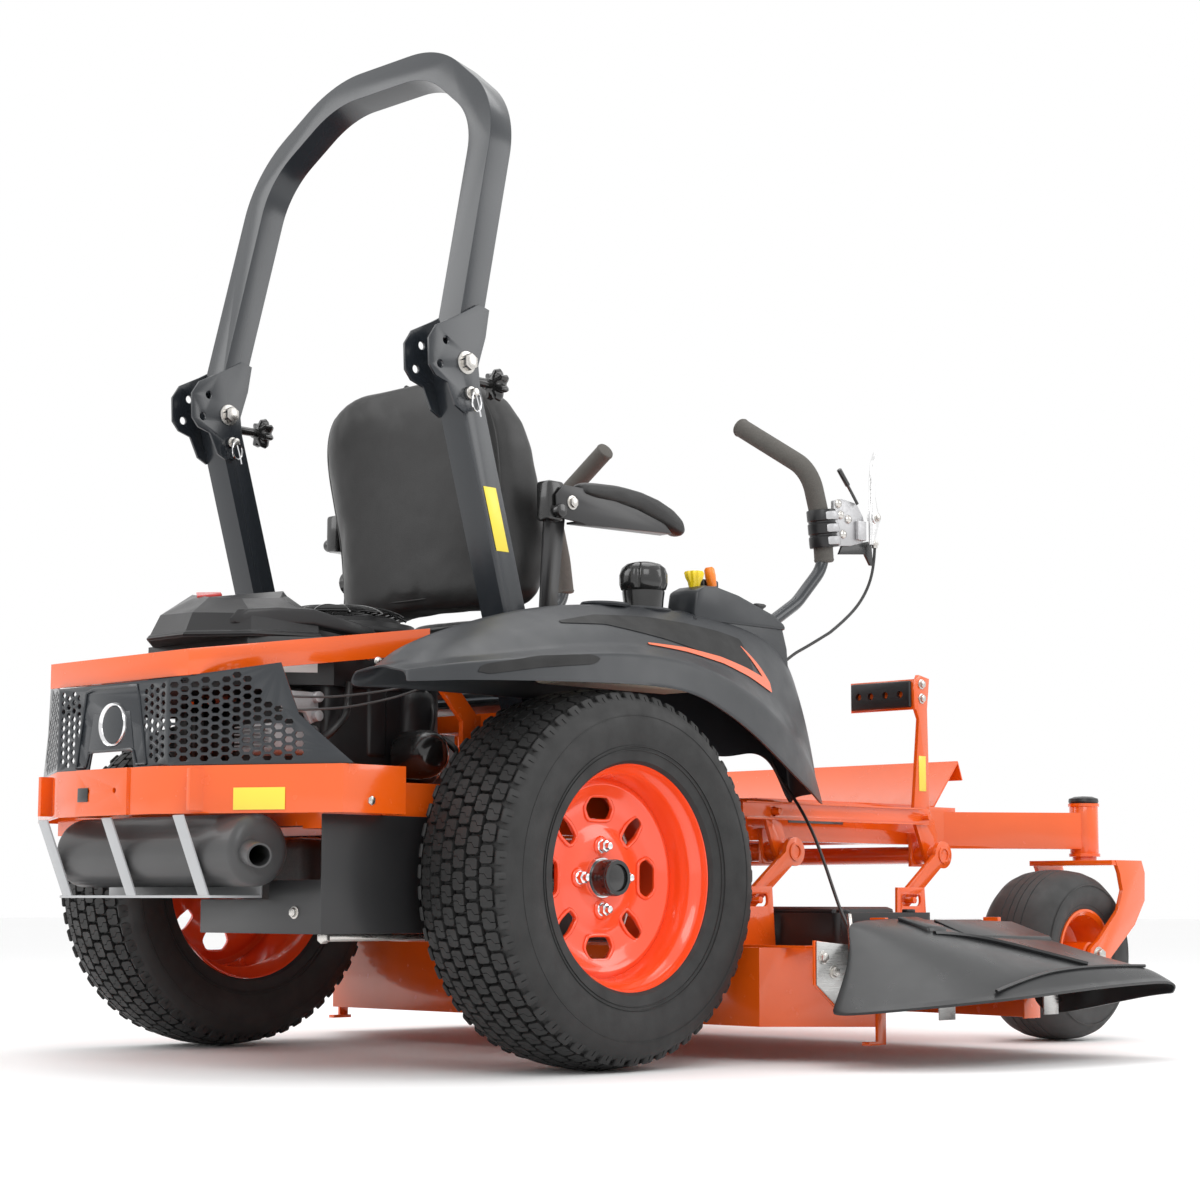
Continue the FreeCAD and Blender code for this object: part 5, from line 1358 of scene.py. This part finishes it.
def engine_details():
    """Ridges, housings, castings, hoses and blank labels round the engine."""
    body = BODY_OF["engine_shroud"]
    lip = tube([at(x, y, 693) for x, y in HOOD_BASE + HOOD_BASE[:1]], 3.0, 2, 8)
    ridge = lofted([oval(at(x, y, z), a, b, (0.5, -0.86, 0), (0, 0, 1), 5.0, 28) for x, y, z, a, b in (
        (-452, -128, 716, 6, 4), (-440, -136, 722, 12, 12), (-396, -152, 726, 14, 14),
        (-340, -176, 726, 14, 14),
        (-292, -190, 716, 14, 12), (-232, -200, 706, 12, 10), (-224, -202, 704, 6, 5))])
    panel = plate([at(-300, -150, 728), at(-160, -196, 722), at(-70, -196, 712), at(-50, -150, 716)], 12,
                  (0, 0, -1), 3.0)
    placed(joined("cover_ridges", [lip, ridge, panel]), "cover_ridges", BLACK_COVER, body, ())
    accent = plate([at(-422, 12, 770), at(-384, 66, 784), at(-352, 40, 785), at(-386, -8, 775)], 5,
                   (0.25, 0, -1), 1.0)
    placed(accent, "air_cleaner_accent", RED_ACCENT, body, ())
    case = [block(at(-338, -222, 462), at(-86, -150, 640), 14, 4),
            block(at(-250, -226, 500), at(-206, -200, 640), 8, 3),
            lofted([oval(at(-140, -214, z), a, b, (1, 0, 0), (0, 1, 0), 3.0, 28)
                    for z, a, b in ((470, 30, 22), (476, 38, 28), (520, 40, 30), (600, 36, 26),
                                    (612, 30, 20))])]
    placed(joined("blower_housing", case), "blower_housing", BLACK_COVER, body, ())
    alloy = [plate([at(x, -222, z) for x,
                    z in ((-420, 600), (-352, 600), (-348, 556), (-366, 548), (-376, 566),
                                                (-420, 572))], 10, (0, 1, 0), 2.0),
             drum(at(-356, -232, 592), at(-356, -214, 592), 9, 1.5, 24),
             drum(at(-356, -232, 562), at(-356, -214, 562), 9, 1.5, 24),
             block(at(-440, -215, 500), at(-340, -130, 548), 8, 3)]
    for k in range(7):
        alloy.append(block(at(-445, -208, 506 + 6 * k), at(-336, -126, 508 + 6 * k), 0.6, 1))
    placed(joined("engine_castings", alloy), "engine_castings", ALLOY, body, ())
    hoses = [tube([at(-300, -236, 618), at(-306, -242, 585), at(-316, -248, 562), at(-340, -250, 540),
                   at(-350, -240, 528)], 6.5, 3, 14),
             tube([at(-120, -190, 640), at(-118, -240, 600), at(-126, -246, 540), at(-150, -240, 500)],
                  5.0, 3, 12),
             tube([at(-86, -150, 560), at(-60, -210, 540), at(-40, -230, 500), at(-30, -210, 462)], 6.0,
                  3, 12)]
    placed(joined("engine_hoses", hoses), "engine_hoses", CABLE, body, ())
    lines = [tube([at(-450, -235, 588), at(-380, -250, 588), at(-300, -256, 597), at(-210, -262, 613),
                   at(-160, -268, 628)], 2.2, 3, 10),
             tube([at(-440, -235, 566), at(-360, -252, 570), at(-280, -258, 583), at(-190, -264, 606),
                   at(-140, -268, 628)], 2.2, 3, 10)]
    placed(joined("throttle_cables", lines), "throttle_cables", CABLE_GREY, body, ())
    stickers = [plate([at(x, y, z) for x, y, z in ((-226, -232, 660), (-188, -229, 660), (-188, -229, 630),
                                                   (-226, -232, 630))], 1.2, (0, 1, 0), 0.2),
                plate([at(x, y, z) for x, y, z in ((-412, -173, 650), (-352, -220, 650), (-352, -220, 632),
                                                   (-412, -173, 632))], 1.2, (0.6, 1, 0), 0.2)]
    placed(joined("engine_stickers", stickers), "engine_stickers", WHITE_LABEL, body, ())
    plugs = [bolt(at(-262, -240, 664), (0, -1, 0), 6, 4), bolt(at(-318, -212, 480), (0, -1, 0), 8, 5),
             bolt(at(-90, -212, 480), (0, -1, 0), 8, 5)]
    placed(joined("engine_bolts", plugs), "engine_bolts", ZINC, body, ())


def oil_filter():
    rings = [oval(at(-177, y, 506), r, r * 1.08, (1, 0, 0), (0, 0, 1), 2.0, 40)
             for y, r in ((-236, 30), (-238, 35), (-252, 37.5), (-280, 37.5), (-300, 35), (-312, 29),
                          (-318, 18))]
    placed(lofted(rings), "oil_filter_can", GLOSS_BLACK, BODY_OF["oil_filter"], ["oil_filter"])


# ---------------------------------------------------------------- guards, plates and fasteners
def guard_details():
    """The blank badge, the grille's trim, fasteners, labels and the pedal's pad."""
    ring = spun([(29, 0), (31, 4), (34, 6), (36, 3), (36, 0)], at(-592, -6, 546), (-1, 0, 0), 56)
    placed(ring, "badge_ring", CHROME, "chassis", ())
    disc = spun([(0.5, 0.4), (29, 0.4), (29, 2.0), (22, 3.2), (0.5, 3.2)], at(-592, -6, 546), (-1, 0, 0),
                48)
    backing = plate([at(-590.8, y, z) for y, z in ((-62, 506), (62, 506), (50, 566), (-50, 566))], 2,
                    (-1, 0, 0), 0.5)
    placed(joined("badge_disc", [disc, backing]), "badge_disc", DARK, "chassis", ())
    outline = [(-96, 480), (-70, 606), (70, 606), (96, 480), (70, 480), (60, 505), (-60, 505), (-70, 480)]
    trim = tube([at(-592.5, y, z) for y, z in outline + outline[:1]], 2.6, 2, 8)
    placed(trim, "grille_arch", DARK, "chassis", ())
    heads = []
    for x, y, z in ((-300, -308, 648), (-300, 308, 648)):
        out = (-1, 0, 0) if abs(y) < 170 else (-0.38, math.copysign(0.92, y), 0)
        heads.append(bolt(at(x, y, z), out, 5.5, 3.5))
    for y in (-37, 37):
        heads.append(drum(at(-601, y, 440), at(-596, y, 440), 3.4, 0.6, 16))
    for sign in (-1, 1):
        heads.append(bolt(at(-400, sign * 409, 420), (0, sign, 0), 8, 5))
        heads.append(bolt(at(-300, sign * 361, 430), (0, sign, 0), 8, 5))
    heads.append(bolt(at(-455, -300, 250), (-1, 0, 0), 8, 5))
    placed(joined("guard_bolts", heads), "guard_bolts", ZINC, "chassis", ())
    run = Vector((147, -278, 0)).normalized()
    out = Vector((-278, -147, 0)).normalized()
    start = at(-536, -251, 0) + out * 5.9 * MM
    sticker = plate([start + run * s * MM + Vector((0, 0, z * MM)) for s, z in
                     ((0, 440), (86, 440), (86, 406), (0, 406))], 0.8, out, 0.2)
    post_sticker = plate([at(x, -348.6, z) for x, z in ((-111, 950), (-83, 950), (-52, 845), (-80, 845))],
                         0.7,
                         (0, -1, 0), 0.2)
    pedal_sticker = plate([at(x, -402.3, z) for x,
                           z in ((996, 548), (1018, 548), (1018, 480), (996, 480))], 0.7,
                          (0, -1, 0), 0.2)
    placed(joined("yellow_stickers", [sticker, post_sticker]), "yellow_stickers", LABEL, "chassis", ())
    placed(pedal_sticker, "pedal_sticker", LABEL, "lift_pedal", ())
    dark = [plate([at(-610.8, y, z) for y, z in ((62, 446), (62, 424), (34, 424), (34, 446))], 0.8,
                  (-1, 0, 0), 0.2),
            plate([at(x, -360.8, z) for x, z in ((652, 430), (812, 430), (812, 412), (652, 412))], 0.8,
                  (0, -1, 0), 0.2)]
    placed(joined("dark_strips", dark), "dark_strips", GLOSS_BLACK, "chassis", ())
    rod = [drum(at(-430, -345, 212), at(-130, -345, 212), 6.5, 1, 24),
           drum(at(-440, -345, 212), at(-428, -345, 212), 10, 1.5, 6)]
    placed(joined("brake_rod", rod), "brake_rod", ZINC, "chassis", ())
    pedal = [bolt(at(1008, -402, z), (0, -1, 0), 8, 5) for z in (660, 688)]
    placed(joined("pedal_bolts", pedal), "pedal_bolts", ZINC, "lift_pedal", ())
    pad = block(at(978, -396, 642), at(986, -250, 694), 3, 3)
    holes = [drum(at(970, y, 668), at(990, y, 668), 7, 0, 16) for y in (-372, -336, -300, -270)]
    pad = cut(pad, [joined("punches", holes)])
    placed(smooth(pad, 40), "pedal_tread", BLACK_COVER, "lift_pedal", ())


def roll_bar_fittings():
    knobs, pins, rings = [], [], []
    for sign in (-1, 1):
        hub = at(-66, sign * 318, 1133)
        star = []
        for h, r, w in ((-2, 12, 0), (0, 15, 1), (3, 22, 4), (14, 24, 5), (20, 21, 4), (23, 12, 1)):
            star.append([hub + Vector((h * MM, (r + w * math.cos(7 * a)) * math.cos(a) * MM,
                                       (r + w * math.cos(7 * a)) * math.sin(a) * MM))
                         for a in [TURN * k / 84 for k in range(84)]])
        knobs += [lofted(star), drum(at(-118, sign * 318, 1133), at(-66, sign * 318, 1133), 8, 1, 20)]
        for face in (-1, 1):
            y = sign * 321 + face * 32.6
            pins.append(bolt(at(-155.5, y, 1150.5), (0, face, 0), 15.5, 12.5))
        y = sign * 321 - 47
        pins.append(drum(at(-149, y - 4, 1099.8), at(-149, y + 16, 1099.8), 6.8, 1, 24))
        pins.append(drum(at(-149, y + 8, 1099.8), at(-149, y + 11, 1099.8), 10, 1, 24))
        bpy.ops.mesh.primitive_torus_add(location=at(-146, y - 1, 1084), rotation=(math.pi / 2, 0, 0.35),
                                         major_radius=16 * MM, minor_radius=1.5 * MM,
                                         major_segments=40, minor_segments=8)
        rings.append(settle(bpy.context.object))
        rings.append(tube([at(-149, y - 1, 1099), at(-140, y - 1, 1076), at(-136, y - 1, 1060)], 1.4, 3, 8))
    placed(joined("hinge_knobs", knobs), "hinge_knobs", GLOSS_BLACK, "chassis", ())
    placed(joined("hinge_bolts", pins[0:2] + pins[4:6]), "hinge_bolts", ZINC, "roll_bar", ())
    placed(joined("lock_pin_ends", pins[2:4] + pins[6:8]), "lock_pin_ends", ZINC, "chassis", ())
    placed(joined("lock_pin_rings", [smooth(r) for r in rings]), "lock_pin_rings", CHROME, "chassis", ())


studio()
structure()
drive_wheels()
seat_cushion()
seat_back()
seat_bellows()
armrests()
fenders()
filler_details()
fuel_cap()
console_body()
console_controls()
chute()
belt_cover_ribs()
casters()
steering_levers()
lever_clamp()
squeeze_lever()
cables()
fan_guard()
air_cleaner()
engine_details()
oil_filter()
guard_details()
roll_bar_fittings()
